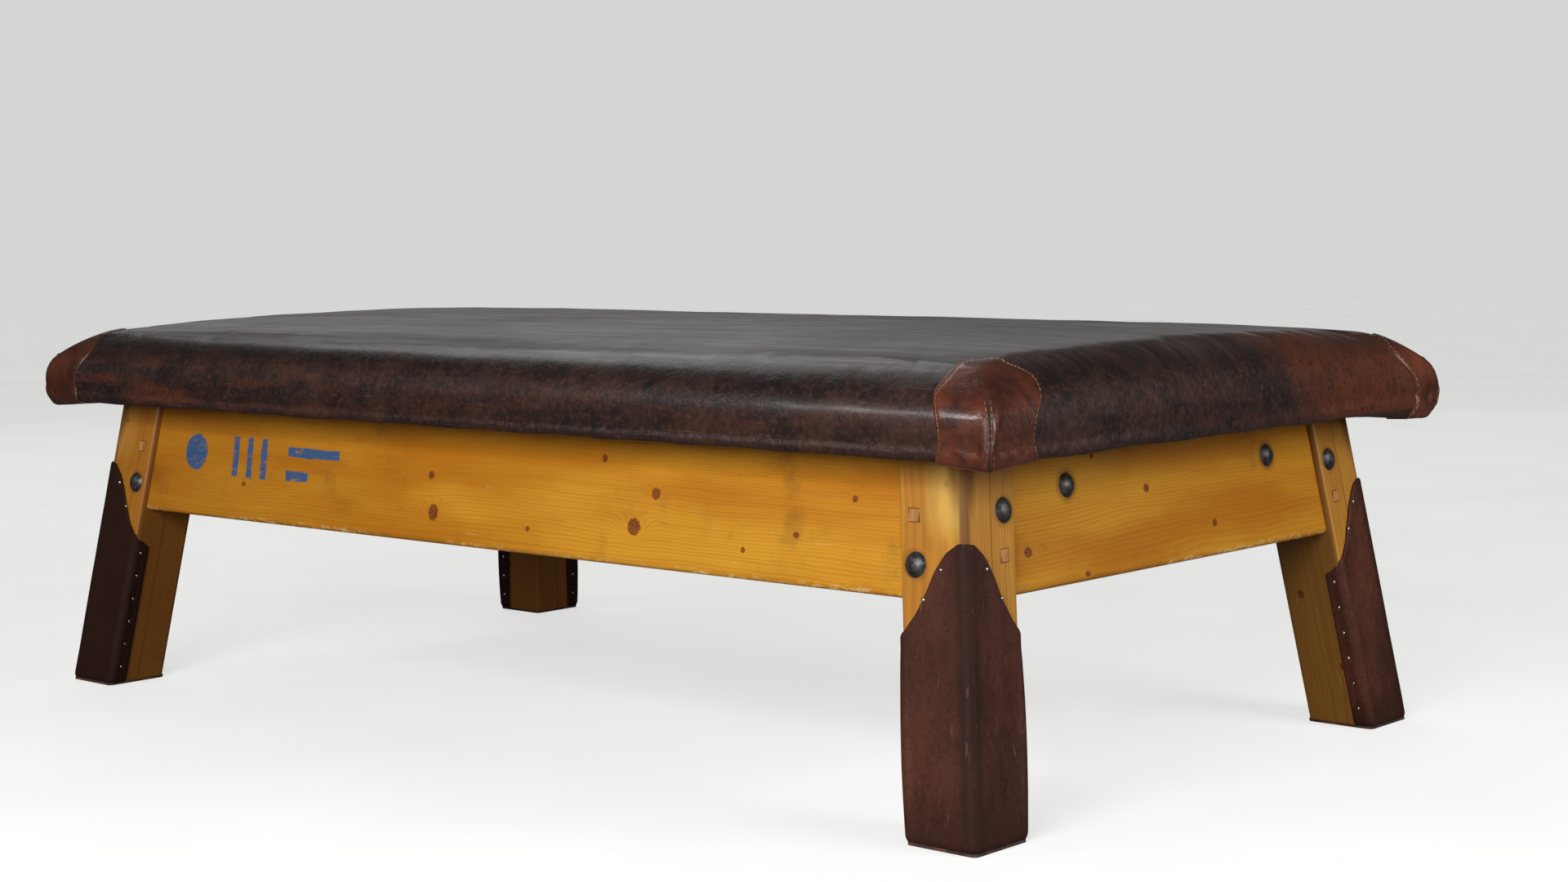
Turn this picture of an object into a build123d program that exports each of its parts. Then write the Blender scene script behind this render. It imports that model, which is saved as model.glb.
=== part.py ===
from build123d import *
from math import hypot
import os

# A low padded gymnastics table: a leather-covered top bolted to a splayed four-leg pine frame.
# Millimetres. +Z is up, X runs along the table and the origin is on the floor under its middle.

# Padded top
LENGTH = 1500.0  # over the corner patches
WIDTH = 832.0
HEIGHT = 464.0
HEM = 360.0  # lower edge of the cover
SHOULDER = 47.0  # radius between the sides and the top
CORNER = 24.0  # radius of the upright corners
CROWN_X = 13.0  # how far the top falls from its middle towards each end
CROWN_Y = 14.0  # and towards each long side
PATCH = 2.2  # thickness of a corner patch
LEATHER = 3.0
HESSIAN = 1.0
FOLD = 38.0  # width of cover that is turned in under the boards
PLANK = 25.0  # thickness of the boards
PLANK_COUNT = 6
PATCH_CURVE = 34.0  # radius of a patch's inner corner
PATCH_REACH = {  # how far each corner patch reaches along X and along Y
    "front_left": (58.0, 70.0),
    "front_right": (66.0, 80.0),
    "back_left": (58.0, 70.0),
    "back_right": (50.0, 62.0),
}

# Splayed frame. Depths u and v are measured level, inwards from a leg's outer X and Y faces.
FRAME_TOP = 363.0  # top of the legs and rails, underside of the boards
SPLAY = 0.144  # outward lean of a leg for each unit of height, the same in X and Y
FOOT_X = 728.0  # outer corner of the leg timber at floor level
FOOT_Y = 410.8
LEG = 80.0
LEG_BOARD = 40.0  # each leg is glued up from two boards
ARRIS = 6.0
RAIL_INSET = 8.5  # the rails' outer faces lie behind the legs' faces
RAIL = 35.0
RAIL_FOOT = 223.0
TENON = 14.0
TENON_SHOULDER = 15.0
TENON_INSET = RAIL_INSET + (RAIL - TENON) / 2
BATTEN = 45.0
BATTEN_FOOT = 298.0
BATTEN_REACH = 262.0
MID_BATTEN_X = 230.0
MID_BATTEN_WIDTH = 70.0
MID_BATTEN = 25.0
MID_BATTEN_REACH = 308.0

# Fixings
BOLT_R = 5.0
HOLE_R = 5.25
HEAD_R = 12.5
HEAD_RISE = 6.0
NECK = 10.0  # square neck under a bolt's head
NECK_DEPTH = 6.0
GRIP = LEG / hypot(1, SPLAY)  # timber between a bolt's head and its washer, square to the face
WASHER_R = 12.0
WASHER = 2.0
NUT_FLATS = 17.0
NUT = 8.0
BOLT_TAIL = 4.0
FIXING_INSET = 60.0  # from the leg's outer corner to its bolts and pegs
SIDE_BOLT_Z, SIDE_PEG_Z = 258.0, 304.0
END_BOLT_Z, END_PEG_Z = 307.0, 265.0
PEG = 12.0
PEG_LENGTH = 45.0
PEG_PROUD = 0.4
TOP_BOLT_Y, TOP_BOLT_Z = 189.0, 320.0
SCREW_R = 3.0
SCREW_HEAD_R = 6.0
SCREW_BITE = 15.0  # how far a screw goes into the boards
SCREW_EDGE = 16.0  # from the end of a mid batten to its last screw

# Leather on the legs
GUARD = 3.0
GUARD_PEAK = 281.0  # top of a guard at the leg's outer corner
GUARD_SIDE = 188.0  # top of a guard at the leg's inner edges
GUARD_TURN = 20.0  # width of guard that is turned onto the leg's inner faces
SOLE = 3.0
GUARD_TACK_R = 2.3
GUARD_TACK_RISE = 1.2
GUARD_TACK_PITCH = 29.0
COVER_TACK_R = 4.5
COVER_TACK_RISE = 1.5
COVER_TACK_PITCH = 60.0

COVER_X = LENGTH / 2 - PATCH
COVER_Y = WIDTH / 2 - PATCH
CORNERS = {"front_left": (-1, -1), "front_right": (1, -1), "back_left": (-1, 1), "back_right": (1, 1)}


def at_corner(shape, side_x, side_y):
    """A shape made for the +X +Y corner, mirrored to another corner."""
    if side_x < 0:
        shape = shape.mirror(Plane.YZ)
    if side_y < 0:
        shape = shape.mirror(Plane.XZ)
    return shape


def at_all_corners(shapes):
    return [at_corner(shape, *sides) for sides in CORNERS.values() for shape in shapes]


# ---------------------------------------------------------------- padded top


def pad_form(grow, base, top):
    """The top's form, grown sideways: upright sides, round shoulders and a low crown."""

    def profile(half, crown):
        radius = (half**2 + crown**2) / (2 * crown)
        block = Pos(0, (base + top) / 2) * Rectangle(2 * half, top - base)
        shape = block & Pos(0, top - radius) * Circle(radius)
        return fillet(shape.vertices().sort_by(Axis.Y)[-2:], SHOULDER + grow)

    half_x, half_y = COVER_X + grow, COVER_Y + grow
    lengthwise = extrude(Plane.XZ * profile(half_x, CROWN_X), half_y, both=True)
    crosswise = extrude(Plane.YZ * profile(half_y, CROWN_Y), half_x, both=True)
    return lengthwise & crosswise & plan_block(grow, base, top)


def plan_block(grow, z0, z1):
    """A flat block with the top's outline."""
    outline = RectangleRounded(2 * (COVER_X + grow), 2 * (COVER_Y + grow), CORNER + grow)
    return extrude(Pos(0, 0, z0) * outline, z1 - z0)


def underside_opening():
    """The space inside the edge of the cover that is turned in under the boards."""
    opening = Rectangle(2 * (COVER_X - FOLD), 2 * (COVER_Y - FOLD))
    return extrude(Pos(0, 0, HEM - PATCH) * opening, FRAME_TOP - HEM + PATCH)


def leather_cover():
    inside = pad_form(-LEATHER, FRAME_TOP, HEIGHT - LEATHER)
    return pad_form(0, HEM, HEIGHT) - inside - underside_opening()


def hessian_liner():
    """The hessian bag that holds the stuffing against the boards."""
    outside = pad_form(-LEATHER, FRAME_TOP, HEIGHT - LEATHER)
    skin = LEATHER + HESSIAN
    return outside - pad_form(-skin, FRAME_TOP, HEIGHT - skin)


def horsehair_padding():
    skin = LEATHER + HESSIAN
    return pad_form(-skin, FRAME_TOP + PLANK, HEIGHT - skin)


def corner_patches():
    """Leather patches sewn over the four corners of the cover."""
    skin = pad_form(PATCH, HEM - PATCH, HEIGHT + PATCH) - pad_form(0, HEM, HEIGHT)
    skin -= underside_opening()
    patches = {}
    for name, (side_x, side_y) in CORNERS.items():
        reach_x, reach_y = PATCH_REACH[name]
        outline = RectangleRounded(2 * reach_x, 2 * reach_y, PATCH_CURVE)
        place = Pos(side_x * COVER_X, side_y * COVER_Y, HEM - PATCH)
        patches["corner_patch_" + name] = skin & extrude(place * outline, HEIGHT)
    return patches


def top_planks():
    """Boards that run lengthwise, side by side, under the padding."""
    skin = LEATHER + HESSIAN
    board = plan_block(-skin, FRAME_TOP, FRAME_TOP + PLANK) - batten_screws()
    span = 2 * (COVER_Y - skin) / PLANK_COUNT
    planks = {}
    for i in range(PLANK_COUNT):
        middle = (i - (PLANK_COUNT - 1) / 2) * span
        strip = Pos(0, middle, FRAME_TOP + PLANK / 2) * Box(LENGTH, span, PLANK)
        planks[f"top_plank_{i + 1}"] = board & strip
    return planks


def cover_tacks():
    """Domed tacks that hold the turned-in edge of the cover to the boards."""
    inset = FOLD / 2
    clear = max(max(reach) for reach in PATCH_REACH.values()) + 2 * COVER_TACK_R
    face_down = Rot(X=180) * dome(COVER_TACK_R, COVER_TACK_RISE)
    tacks = []
    for across, along, turned in ((COVER_Y, COVER_X, False), (COVER_X, COVER_Y, True)):
        count = round(2 * (along - clear) / COVER_TACK_PITCH)
        for i in range(count + 1):
            place = (clear - along) * (1 - 2 * i / count)
            for side in (-1, 1):
                row = side * (across - inset)
                x, y = (row, place) if turned else (place, row)
                tacks.append(Pos(x, y, HEM) * face_down)
    return Compound(tacks)


# ---------------------------------------------------------------- splayed frame


def lean(z):
    return SPLAY * z


def leaning_block(u0, u1, v0, v1, z0, z1, radius=0.0):
    """A prism that leans with the +X +Y leg, between two depths from each outer face."""
    section = RectangleRounded(u1 - u0, v1 - v0, radius) if radius else Rectangle(u1 - u0, v1 - v0)
    foot = Pos(FOOT_X - lean(z0) - (u0 + u1) / 2, FOOT_Y - lean(z0) - (v0 + v1) / 2, z0)
    slope = Vector(-SPLAY, -SPLAY, 1)
    return extrude(foot * section, (z1 - z0) * slope.length, dir=slope)


def leaning_rail(outer, inner, z0, z1, lengthwise):
    """A board that leans with the legs' outer faces and ends at their inner faces."""

    def section(z):
        if lengthwise:
            half, edge = FOOT_X - lean(z) - LEG, FOOT_Y - lean(z)
            return Pos(0, edge - (outer + inner) / 2, z) * Rectangle(2 * half, inner - outer)
        half, edge = FOOT_Y - lean(z) - LEG, FOOT_X - lean(z)
        return Pos(edge - (outer + inner) / 2, 0, z) * Rectangle(inner - outer, 2 * half)

    return loft([section(z0), section(z1)], ruled=True)


def side_tenon():
    z0, z1 = RAIL_FOOT + TENON_SHOULDER, FRAME_TOP - TENON_SHOULDER
    return leaning_block(LEG_BOARD, LEG, TENON_INSET, TENON_INSET + TENON, z0, z1)


def end_tenon():
    z0, z1 = RAIL_FOOT + TENON_SHOULDER, FRAME_TOP - TENON_SHOULDER
    return leaning_block(TENON_INSET, TENON_INSET + TENON, LEG_BOARD, LEG, z0, z1)


def side_rail():
    """The +Y rail, with a tenon at each end."""
    rail = leaning_rail(RAIL_INSET, RAIL_INSET + RAIL, RAIL_FOOT, FRAME_TOP, True)
    rail = fillet(rail.edges().filter_by(Axis.X).sort_by(Axis.Z)[:2], ARRIS)
    tenon = side_tenon()
    rail += [tenon, at_corner(tenon, -1, 1)]
    return rail - at_all_corners(fixing_holes())


def end_rail():
    """The +X rail, with a tenon at each end and two bolts into the batten behind it."""
    rail = leaning_rail(RAIL_INSET, RAIL_INSET + RAIL, RAIL_FOOT, FRAME_TOP, False)
    rail = fillet(rail.edges().filter_by(Axis.Y).sort_by(Axis.Z)[:2], ARRIS)
    tenon = end_tenon()
    rail += [tenon, at_corner(tenon, 1, -1)]
    return rail - at_all_corners(fixing_holes()) - top_bolt_holes()


def leg_boards():
    """The +X +Y leg: an outer board and an inner board, glued face to face."""
    leg = leaning_block(0, LEG, 0, LEG, SOLE, FRAME_TOP, ARRIS)
    outer = leg & leaning_block(0, LEG, 0, LEG_BOARD, SOLE, FRAME_TOP)
    inner = leg & leaning_block(0, LEG, LEG_BOARD, LEG, SOLE, FRAME_TOP)
    holes = fixing_holes()
    return outer - side_tenon() - holes, inner - end_tenon() - holes


def end_batten():
    """The block behind the +X rail that carries the end of the top."""
    back = RAIL_INSET + RAIL + BATTEN
    block = leaning_rail(RAIL_INSET + RAIL, back, BATTEN_FOOT, FRAME_TOP, False)
    reach = Pos(FOOT_X / 2, 0, FRAME_TOP / 2) * Box(FOOT_X, 2 * BATTEN_REACH, FRAME_TOP)
    return (block & reach) - top_bolt_holes() - batten_screws()


def mid_batten():
    place = Pos(MID_BATTEN_X, 0, FRAME_TOP - MID_BATTEN / 2)
    return place * Box(MID_BATTEN_WIDTH, 2 * MID_BATTEN_REACH, MID_BATTEN) - batten_screws()


# ---------------------------------------------------------------- fixings


def dome(radius, rise):
    """A round cap that stands on Z = 0."""
    ball = (radius**2 + rise**2) / (2 * rise)
    slab = Pos(0, 0, rise / 2) * Box(3 * radius, 3 * radius, rise)
    return Pos(0, 0, rise - ball) * Sphere(ball) & slab


def side_plane(x, z, depth=0.0):
    """A plane parallel to the +Y leg face, facing out."""
    return Plane((x, FOOT_Y - lean(z) - depth, z), x_dir=(1, 0, 0), z_dir=(0, 1, SPLAY))


def end_plane(y, z, depth=0.0):
    """A plane parallel to the +X leg face, facing out."""
    return Plane((FOOT_X - lean(z) - depth, y, z), x_dir=(0, 1, 0), z_dir=(1, 0, SPLAY))


def bolt_places():
    """The two bolts of the +X +Y leg."""
    return [
        side_plane(FOOT_X - lean(SIDE_BOLT_Z) - FIXING_INSET, SIDE_BOLT_Z),
        end_plane(FOOT_Y - lean(END_BOLT_Z) - FIXING_INSET, END_BOLT_Z),
    ]


def peg_places():
    """The two square pegs of the +X +Y leg, one through each tenon."""
    return [
        side_plane(FOOT_X - lean(SIDE_PEG_Z) - FIXING_INSET, SIDE_PEG_Z),
        end_plane(FOOT_Y - lean(END_PEG_Z) - FIXING_INSET, END_PEG_Z),
    ]


def top_bolt_places():
    return [end_plane(side * TOP_BOLT_Y, TOP_BOLT_Z, RAIL_INSET) for side in (-1, 1)]


def below(z0, z1, shape):
    """A flat shape made into a rod from Z = z0 up to Z = z1."""
    return extrude(Pos(0, 0, z0) * shape, z1 - z0)


def coach_bolt():
    neck = below(-NECK_DEPTH, 0, Rectangle(NECK, NECK))
    shank = below(-GRIP - WASHER - NUT - BOLT_TAIL, -NECK_DEPTH, Circle(BOLT_R))
    return dome(HEAD_R, HEAD_RISE) + neck + shank


def bolt_hole():
    neck = below(-NECK_DEPTH, 0, Rectangle(NECK, NECK))
    return neck + below(-GRIP - WASHER, -NECK_DEPTH, Circle(HOLE_R))


def washer():
    return below(-GRIP - WASHER, -GRIP, Circle(WASHER_R) - Circle(HOLE_R))


def nut():
    hexagon = RegularPolygon(NUT_FLATS / 2, 6, major_radius=False)
    return below(-GRIP - WASHER - NUT, -GRIP - WASHER, hexagon - Circle(BOLT_R))


def peg(proud=PEG_PROUD):
    return below(-PEG_LENGTH, proud, Rectangle(PEG, PEG))


def fixing_holes():
    """What the bolts and pegs of the +X +Y leg take out of the timber."""
    return [place * bolt_hole() for place in bolt_places()] + [place * peg() for place in peg_places()]


def top_bolt_holes():
    return [place * bolt_hole() for place in top_bolt_places()]


def at_both_ends(shapes):
    return [at_corner(shape, side, 1) for side in (-1, 1) for shape in shapes]


def batten_screws():
    """Countersunk screws up through the four battens into the boards."""
    pitch = 2 * (COVER_Y - LEATHER - HESSIAN) / PLANK_COUNT
    outer_y = MID_BATTEN_REACH - SCREW_EDGE
    end_x = FOOT_X - lean(FRAME_TOP) - RAIL_INSET - RAIL - BATTEN / 2
    screws = []
    for side_x in (-1, 1):
        for side_y in (-1, 1):
            for y in (pitch / 2, 1.5 * pitch, outer_y):
                place = Pos(side_x * MID_BATTEN_X, side_y * y, FRAME_TOP - MID_BATTEN)
                screws.append(place * screw(MID_BATTEN + SCREW_BITE))
            for y in (pitch / 2, 1.5 * pitch):
                place = Pos(side_x * end_x, side_y * y, BATTEN_FOOT)
                screws.append(place * screw(FRAME_TOP - BATTEN_FOOT + SCREW_BITE))
    return Compound(screws)


def screw(length):
    """A countersunk wood screw that points up, with its head's face at Z = 0."""
    head_depth = SCREW_HEAD_R - SCREW_R
    head = Pos(0, 0, head_depth / 2) * Cone(SCREW_HEAD_R, SCREW_R, head_depth)
    return head + below(head_depth, length, Circle(SCREW_R))


# ---------------------------------------------------------------- leather on the legs


def bell(place):
    """The area under a guard's bell-shaped top. place gives the level coordinate at a depth and height."""
    edge = [(0, GUARD_PEAK), (0.3 * LEG, 0.95 * GUARD_PEAK), (0.65 * LEG, 0.815 * GUARD_PEAK)]
    edge += [(LEG + GUARD, GUARD_SIDE)]
    points = [(place(u, z), z) for u, z in edge]
    outside = place(-GUARD, GUARD_PEAK)
    foot_in, foot_out = place(LEG + GUARD, SOLE), place(-GUARD, SOLE)
    with_top = Spline(points) + Polyline(
        points[-1], (foot_in, SOLE), (foot_out, SOLE), (outside, GUARD_PEAK), points[0]
    )
    return make_face(with_top)


def leg_guard():
    """Leather round the +X +Y leg's outer faces, turned onto the edges of its inner faces."""
    far = LEG + GUARD
    outside = leaning_block(-GUARD, far, -GUARD, far, SOLE, GUARD_PEAK, ARRIS + GUARD)
    wrap = outside - leaning_block(0, LEG, 0, LEG, SOLE, GUARD_PEAK, ARRIS)
    side_bell = extrude(Plane.XZ * bell(lambda u, z: FOOT_X - lean(z) - u), -WIDTH)
    end_bell = extrude(Plane.YZ * bell(lambda v, z: FOOT_Y - lean(z) - v), LENGTH)
    side_face = wrap & leaning_block(-GUARD, far, -GUARD, ARRIS, SOLE, GUARD_PEAK) & side_bell
    end_face = wrap & leaning_block(-GUARD, ARRIS, -GUARD, far, SOLE, GUARD_PEAK) & end_bell
    side_turn = wrap & leaning_block(LEG - ARRIS, far, -GUARD, GUARD_TURN, SOLE, GUARD_SIDE)
    end_turn = wrap & leaning_block(-GUARD, GUARD_TURN, LEG - ARRIS, far, SOLE, GUARD_SIDE)
    return side_face + end_face + side_turn + end_turn


def guard_tacks():
    """Domed tacks round the edges of the +X +Y guard."""
    head = dome(GUARD_TACK_R, GUARD_TACK_RISE)
    tacks = []
    for depth, z in ((28, 256), (50, 227)):
        tacks.append(side_plane(FOOT_X - lean(z) - depth, z, -GUARD) * head)
        tacks.append(end_plane(FOOT_Y - lean(z) - depth, z, -GUARD) * head)
    inner = LEG + GUARD
    count = int((GUARD_SIDE - SOLE) / GUARD_TACK_PITCH)
    for i in range(count):
        z = SOLE + GUARD_TACK_PITCH * (i + 0.7)
        row = GUARD_TURN / 2
        on_side = side_plane(FOOT_X - lean(z) - row, z, inner)
        on_end = end_plane(FOOT_Y - lean(z) - row, z, inner)
        tacks += [place * Rot(X=180) * head for place in (on_side, on_end)]
    return tacks


def sole():
    return leaning_block(-1, LEG + 1, -1, LEG + 1, 0, SOLE, ARRIS)


# ---------------------------------------------------------------- the whole table


def all_nodes():
    nodes = {
        "leather_cover": leather_cover(),
        "hessian_liner": hessian_liner(),
        "horsehair_padding": horsehair_padding(),
        "cover_tacks": cover_tacks(),
        "rail_back": side_rail(),
        "rail_front": at_corner(side_rail(), 1, -1),
        "rail_right": end_rail(),
        "rail_left": at_corner(end_rail(), -1, 1),
        "end_batten_right": end_batten(),
        "end_batten_left": at_corner(end_batten(), -1, 1),
        "mid_batten_right": mid_batten(),
        "mid_batten_left": at_corner(mid_batten(), -1, 1),
        "batten_screws": batten_screws(),
        "joint_pegs": Compound(at_all_corners([place * peg() for place in peg_places()])),
        "guard_tacks": Compound(at_all_corners(guard_tacks())),
    }
    nodes.update(top_planks())
    nodes.update(corner_patches())
    for kind, piece in (("bolts", coach_bolt()), ("washers", washer()), ("nuts", nut())):
        on_leg = [place * piece for place in bolt_places()]
        on_top = [place * piece for place in top_bolt_places()]
        nodes["leg_" + kind] = Compound(at_all_corners(on_leg))
        nodes["top_" + kind] = Compound(at_both_ends(on_top))
    outer, inner = leg_boards()
    guard = leg_guard()
    for name, sides in CORNERS.items():
        nodes[f"leg_{name}_outer"] = at_corner(outer, *sides)
        nodes[f"leg_{name}_inner"] = at_corner(inner, *sides)
        nodes["leg_guard_" + name] = at_corner(guard, *sides)
        nodes["foot_sole_" + name] = at_corner(sole(), *sides)
    return nodes


os.makedirs("parts", exist_ok=True)
for node_name, node_shape in all_nodes().items():
    export_step(node_shape, f"parts/{node_name}.step")
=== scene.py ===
import math

import bpy
import numpy as np
from mathutils import Matrix, Vector, noise
from mathutils.bvhtree import BVHTree


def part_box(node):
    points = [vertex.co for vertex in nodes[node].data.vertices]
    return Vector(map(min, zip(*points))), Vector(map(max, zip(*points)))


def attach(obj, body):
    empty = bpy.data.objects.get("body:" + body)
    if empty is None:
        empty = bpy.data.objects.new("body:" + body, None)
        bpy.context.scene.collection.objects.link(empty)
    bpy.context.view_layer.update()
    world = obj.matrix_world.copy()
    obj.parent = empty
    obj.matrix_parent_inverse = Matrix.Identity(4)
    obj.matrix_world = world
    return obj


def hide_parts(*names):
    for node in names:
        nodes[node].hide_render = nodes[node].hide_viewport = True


# The looks of a low padded gymnastics table: leather top, corner patches, thread, leg guards,
# varnished pine and blackened bolts. Metres, in the CAD model's own frame.

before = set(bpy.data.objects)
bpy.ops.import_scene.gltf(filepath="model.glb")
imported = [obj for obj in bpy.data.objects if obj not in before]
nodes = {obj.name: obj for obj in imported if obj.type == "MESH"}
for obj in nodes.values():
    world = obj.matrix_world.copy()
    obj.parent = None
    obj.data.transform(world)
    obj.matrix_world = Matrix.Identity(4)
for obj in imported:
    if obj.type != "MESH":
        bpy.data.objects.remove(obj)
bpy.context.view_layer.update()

MM = 0.001
CORNERS = {"front_left": (-1, -1), "front_right": (1, -1), "back_left": (-1, 1), "back_right": (1, 1)}

# ---------------------------------------------------------------- sizes read from the frame

cover_low, cover_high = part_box("leather_cover")
COVER_X, COVER_Y = cover_high.x, cover_high.y
HEM, TOP = cover_low.z, cover_high.z
rail_low, rail_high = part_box("rail_front")
RAIL_FOOT, FRAME_TOP = rail_low.z, rail_high.z
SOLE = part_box("foot_sole_front_right")[1].z
LEG = 80 * MM
leg_low, leg_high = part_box("leg_front_right_outer")
SPLAY = (leg_high.x - leg_low.x - LEG) / (leg_high.z - leg_low.z)
FOOT_X, FOOT_Y = leg_high.x + SPLAY * SOLE, SPLAY * SOLE - leg_low.y
ARRIS = 6 * MM

# Upholstery
LEATHER = 3 * MM
SHOULDER = 50 * MM  # radius from the side to the top
HEM_ROLL = 4 * MM
FOLD = 38 * MM  # what is turned in under the boards
CORNER_RADIUS = 6 * MM  # of the upright corners at the hem
CORNER_GROWTH = 0.85  # how fast that radius grows over the shoulder
CREST = TOP - 4 * MM  # middle of the top
CROWN_X, CROWN_X_POWER = 5.2 * MM, 4.8
CROWN_Y, CROWN_Y_POWER = 16.6 * MM, 2.2
BULGE = 5 * MM  # how far the sides swell past the hem
SWELL_PRESSURE, SWELL_CAP, SWELL_STEPS = 4, 5 * MM, 20
COVER_SPACING = 8 * MM
# How far each corner swells out
CORNER_PUSH = {"front_left": 8 * MM, "front_right": 4 * MM, "back_left": 8 * MM, "back_right": 12 * MM}


def body_piece(piece, replaces=()):
    """Puts a new piece on the table's one body."""
    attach(piece, "root")
    if replaces:
        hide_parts(*replaces)


def mesh_object(name, points, faces, material=None, smooth=True):
    mesh = bpy.data.meshes.new(name)
    mesh.from_pydata([tuple(map(float, p)) for p in points], [], [tuple(map(int, f)) for f in faces])
    mesh.validate()
    mesh.update()
    if smooth:
        mesh.shade_smooth()
    piece = bpy.data.objects.new(name, mesh)
    bpy.context.scene.collection.objects.link(piece)
    if material:
        mesh.materials.append(material)
    return piece


def smooth_step(low, high, value):
    t = np.clip((np.asarray(value, float) - low) / (high - low), 0, 1)
    return t * t * (3 - 2 * t)


def wave_noise(points, size, seed=0.0):
    """Smooth noise from -1 to 1 at each point, with features about size across."""
    shift = Vector((seed * 3.1, seed * 7.7, seed * 1.3))
    return np.array([noise.noise(Vector(p) / size + shift) for p in points])


def apply_modifiers(piece):
    """Replaces the piece's mesh by what its modifiers make of it."""
    evaluated = piece.evaluated_get(bpy.context.evaluated_depsgraph_get())
    mesh = bpy.data.meshes.new_from_object(evaluated)
    piece.modifiers.clear()
    piece.data = mesh


def coordinates(mesh):
    co = np.zeros(len(mesh.vertices) * 3)
    mesh.vertices.foreach_get("co", co)
    return co.reshape(-1, 3)


def set_coordinates(mesh, co):
    mesh.vertices.foreach_set("co", np.asarray(co, float).ravel())
    mesh.update()


# ---------------------------------------------------------------- the padded top's form


def crown(x, y):
    """Height of the top over a point of the plan."""
    fall_x = CROWN_X * np.abs(x / COVER_X) ** CROWN_X_POWER
    fall_y = CROWN_Y * np.abs(y / COVER_Y) ** CROWN_Y_POWER
    return CREST - fall_x - fall_y


SIDE_TOP = CREST - CROWN_X - CROWN_Y - SHOULDER  # where the side starts to turn over
HEM_TURN = HEM_ROLL * math.pi / 2
SIDE_LENGTH = HEM_TURN + SIDE_TOP - HEM - HEM_ROLL
SHOULDER_LENGTH = SHOULDER * math.pi / 2


def profile(t):
    """Inset from the outline, height and corner radius at a distance up the cover from its hem.

    Below 0 the profile runs in under the boards.
    """
    if t < 0:
        return HEM_ROLL - t, HEM, CORNER_RADIUS
    if t < HEM_TURN:
        angle = t / HEM_ROLL
        return HEM_ROLL * (1 - math.sin(angle)), HEM + HEM_ROLL * (1 - math.cos(angle)), CORNER_RADIUS
    if t < SIDE_LENGTH:
        share = (t - HEM_TURN) / (SIDE_LENGTH - HEM_TURN)
        return -BULGE * math.sin(share * math.pi / 2), HEM + HEM_ROLL + t - HEM_TURN, CORNER_RADIUS
    if t < SIDE_LENGTH + SHOULDER_LENGTH:
        angle = (t - SIDE_LENGTH) / SHOULDER
        inset = SHOULDER * (1 - math.cos(angle)) - BULGE
        return inset, SIDE_TOP + SHOULDER * math.sin(angle), CORNER_RADIUS + CORNER_GROWTH * (inset + BULGE)
    inset = SHOULDER - BULGE + t - SIDE_LENGTH - SHOULDER_LENGTH
    return inset, SIDE_TOP + SHOULDER, CORNER_RADIUS + CORNER_GROWTH * (inset + BULGE)


def lift_to_crown(x, y, z):
    """Stretches the nominal profile so that it meets the crowned top."""
    nominal = SIDE_TOP + SHOULDER - HEM
    share = np.clip((z - HEM) / nominal, 0, 1)
    return z + share**2 * (crown(x, y) - HEM - nominal)


def hem_drop(x, y):
    """How far the cover hangs below its nominal hem round the outline."""
    drop = 0.8 * MM * (np.sin(x * 23 + 1.0) * np.sin(y * 31 + 0.4) + 0.6 * np.sin(x * 51 + y * 43))
    for name, depth, reach in (
        ("front_right", 3.0, 55),
        ("front_left", 3.0, 60),
        ("back_right", 9.0, 100),
        ("back_left", 3.5, 60),
    ):
        side_x, side_y = CORNERS[name]
        gap = np.hypot(x - side_x * COVER_X, y - side_y * COVER_Y)
        drop = drop + depth * MM * np.exp(-((gap / (reach * MM)) ** 2))
    return drop


def settle(x, y, z):
    """The real form of a point of the nominal one: crowned, bulging at the corners, drooping at the hem."""
    z = lift_to_crown(x, y, z)
    shift_x, shift_y = 0.0, 0.0
    level = 1 - 0.9 * smooth_step(CREST - 50 * MM, CREST - 22 * MM, z)
    level = level * smooth_step(HEM - 4 * MM, HEM + 24 * MM, z)
    for name, push in CORNER_PUSH.items():
        side_x, side_y = CORNERS[name]
        near = np.exp(-(((x - side_x * COVER_X) ** 2 + (y - side_y * COVER_Y) ** 2) / (75 * MM) ** 2))
        amount = push * near * (0.35 + 0.65 * level) / math.sqrt(2)
        shift_x, shift_y = shift_x + side_x * amount, shift_y + side_y * amount
    z = z - hem_drop(x, y) * (1 - smooth_step(HEM, SIDE_TOP + 15 * MM, z))
    return x + shift_x, y + shift_y, z


def half_side(along, across, radius, count):
    """Points along one side of a rounded rectangle, from corner middle to corner middle."""
    straight = along - radius
    total = straight + radius * math.pi / 4
    s = np.linspace(-total, total, count + 1)
    turn = np.clip((np.abs(s) - straight) / radius, 0, math.pi / 4)
    on_straight = np.clip(np.abs(s), 0, straight)
    return np.sign(s) * (on_straight + radius * np.sin(turn)), across - radius * (1 - np.cos(turn))


def outline(half_x, half_y, radius, count_x, count_y):
    """A closed rounded rectangle as points: front, right, back, left."""
    along_x, out_y = half_side(half_x, half_y, radius, count_x)
    along_y, out_x = half_side(half_y, half_x, radius, count_y)
    front = np.stack([along_x, -out_y], 1)[:-1]
    right = np.stack([out_x, along_y], 1)[:-1]
    return np.concatenate([front, right, -front, -right])


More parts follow.
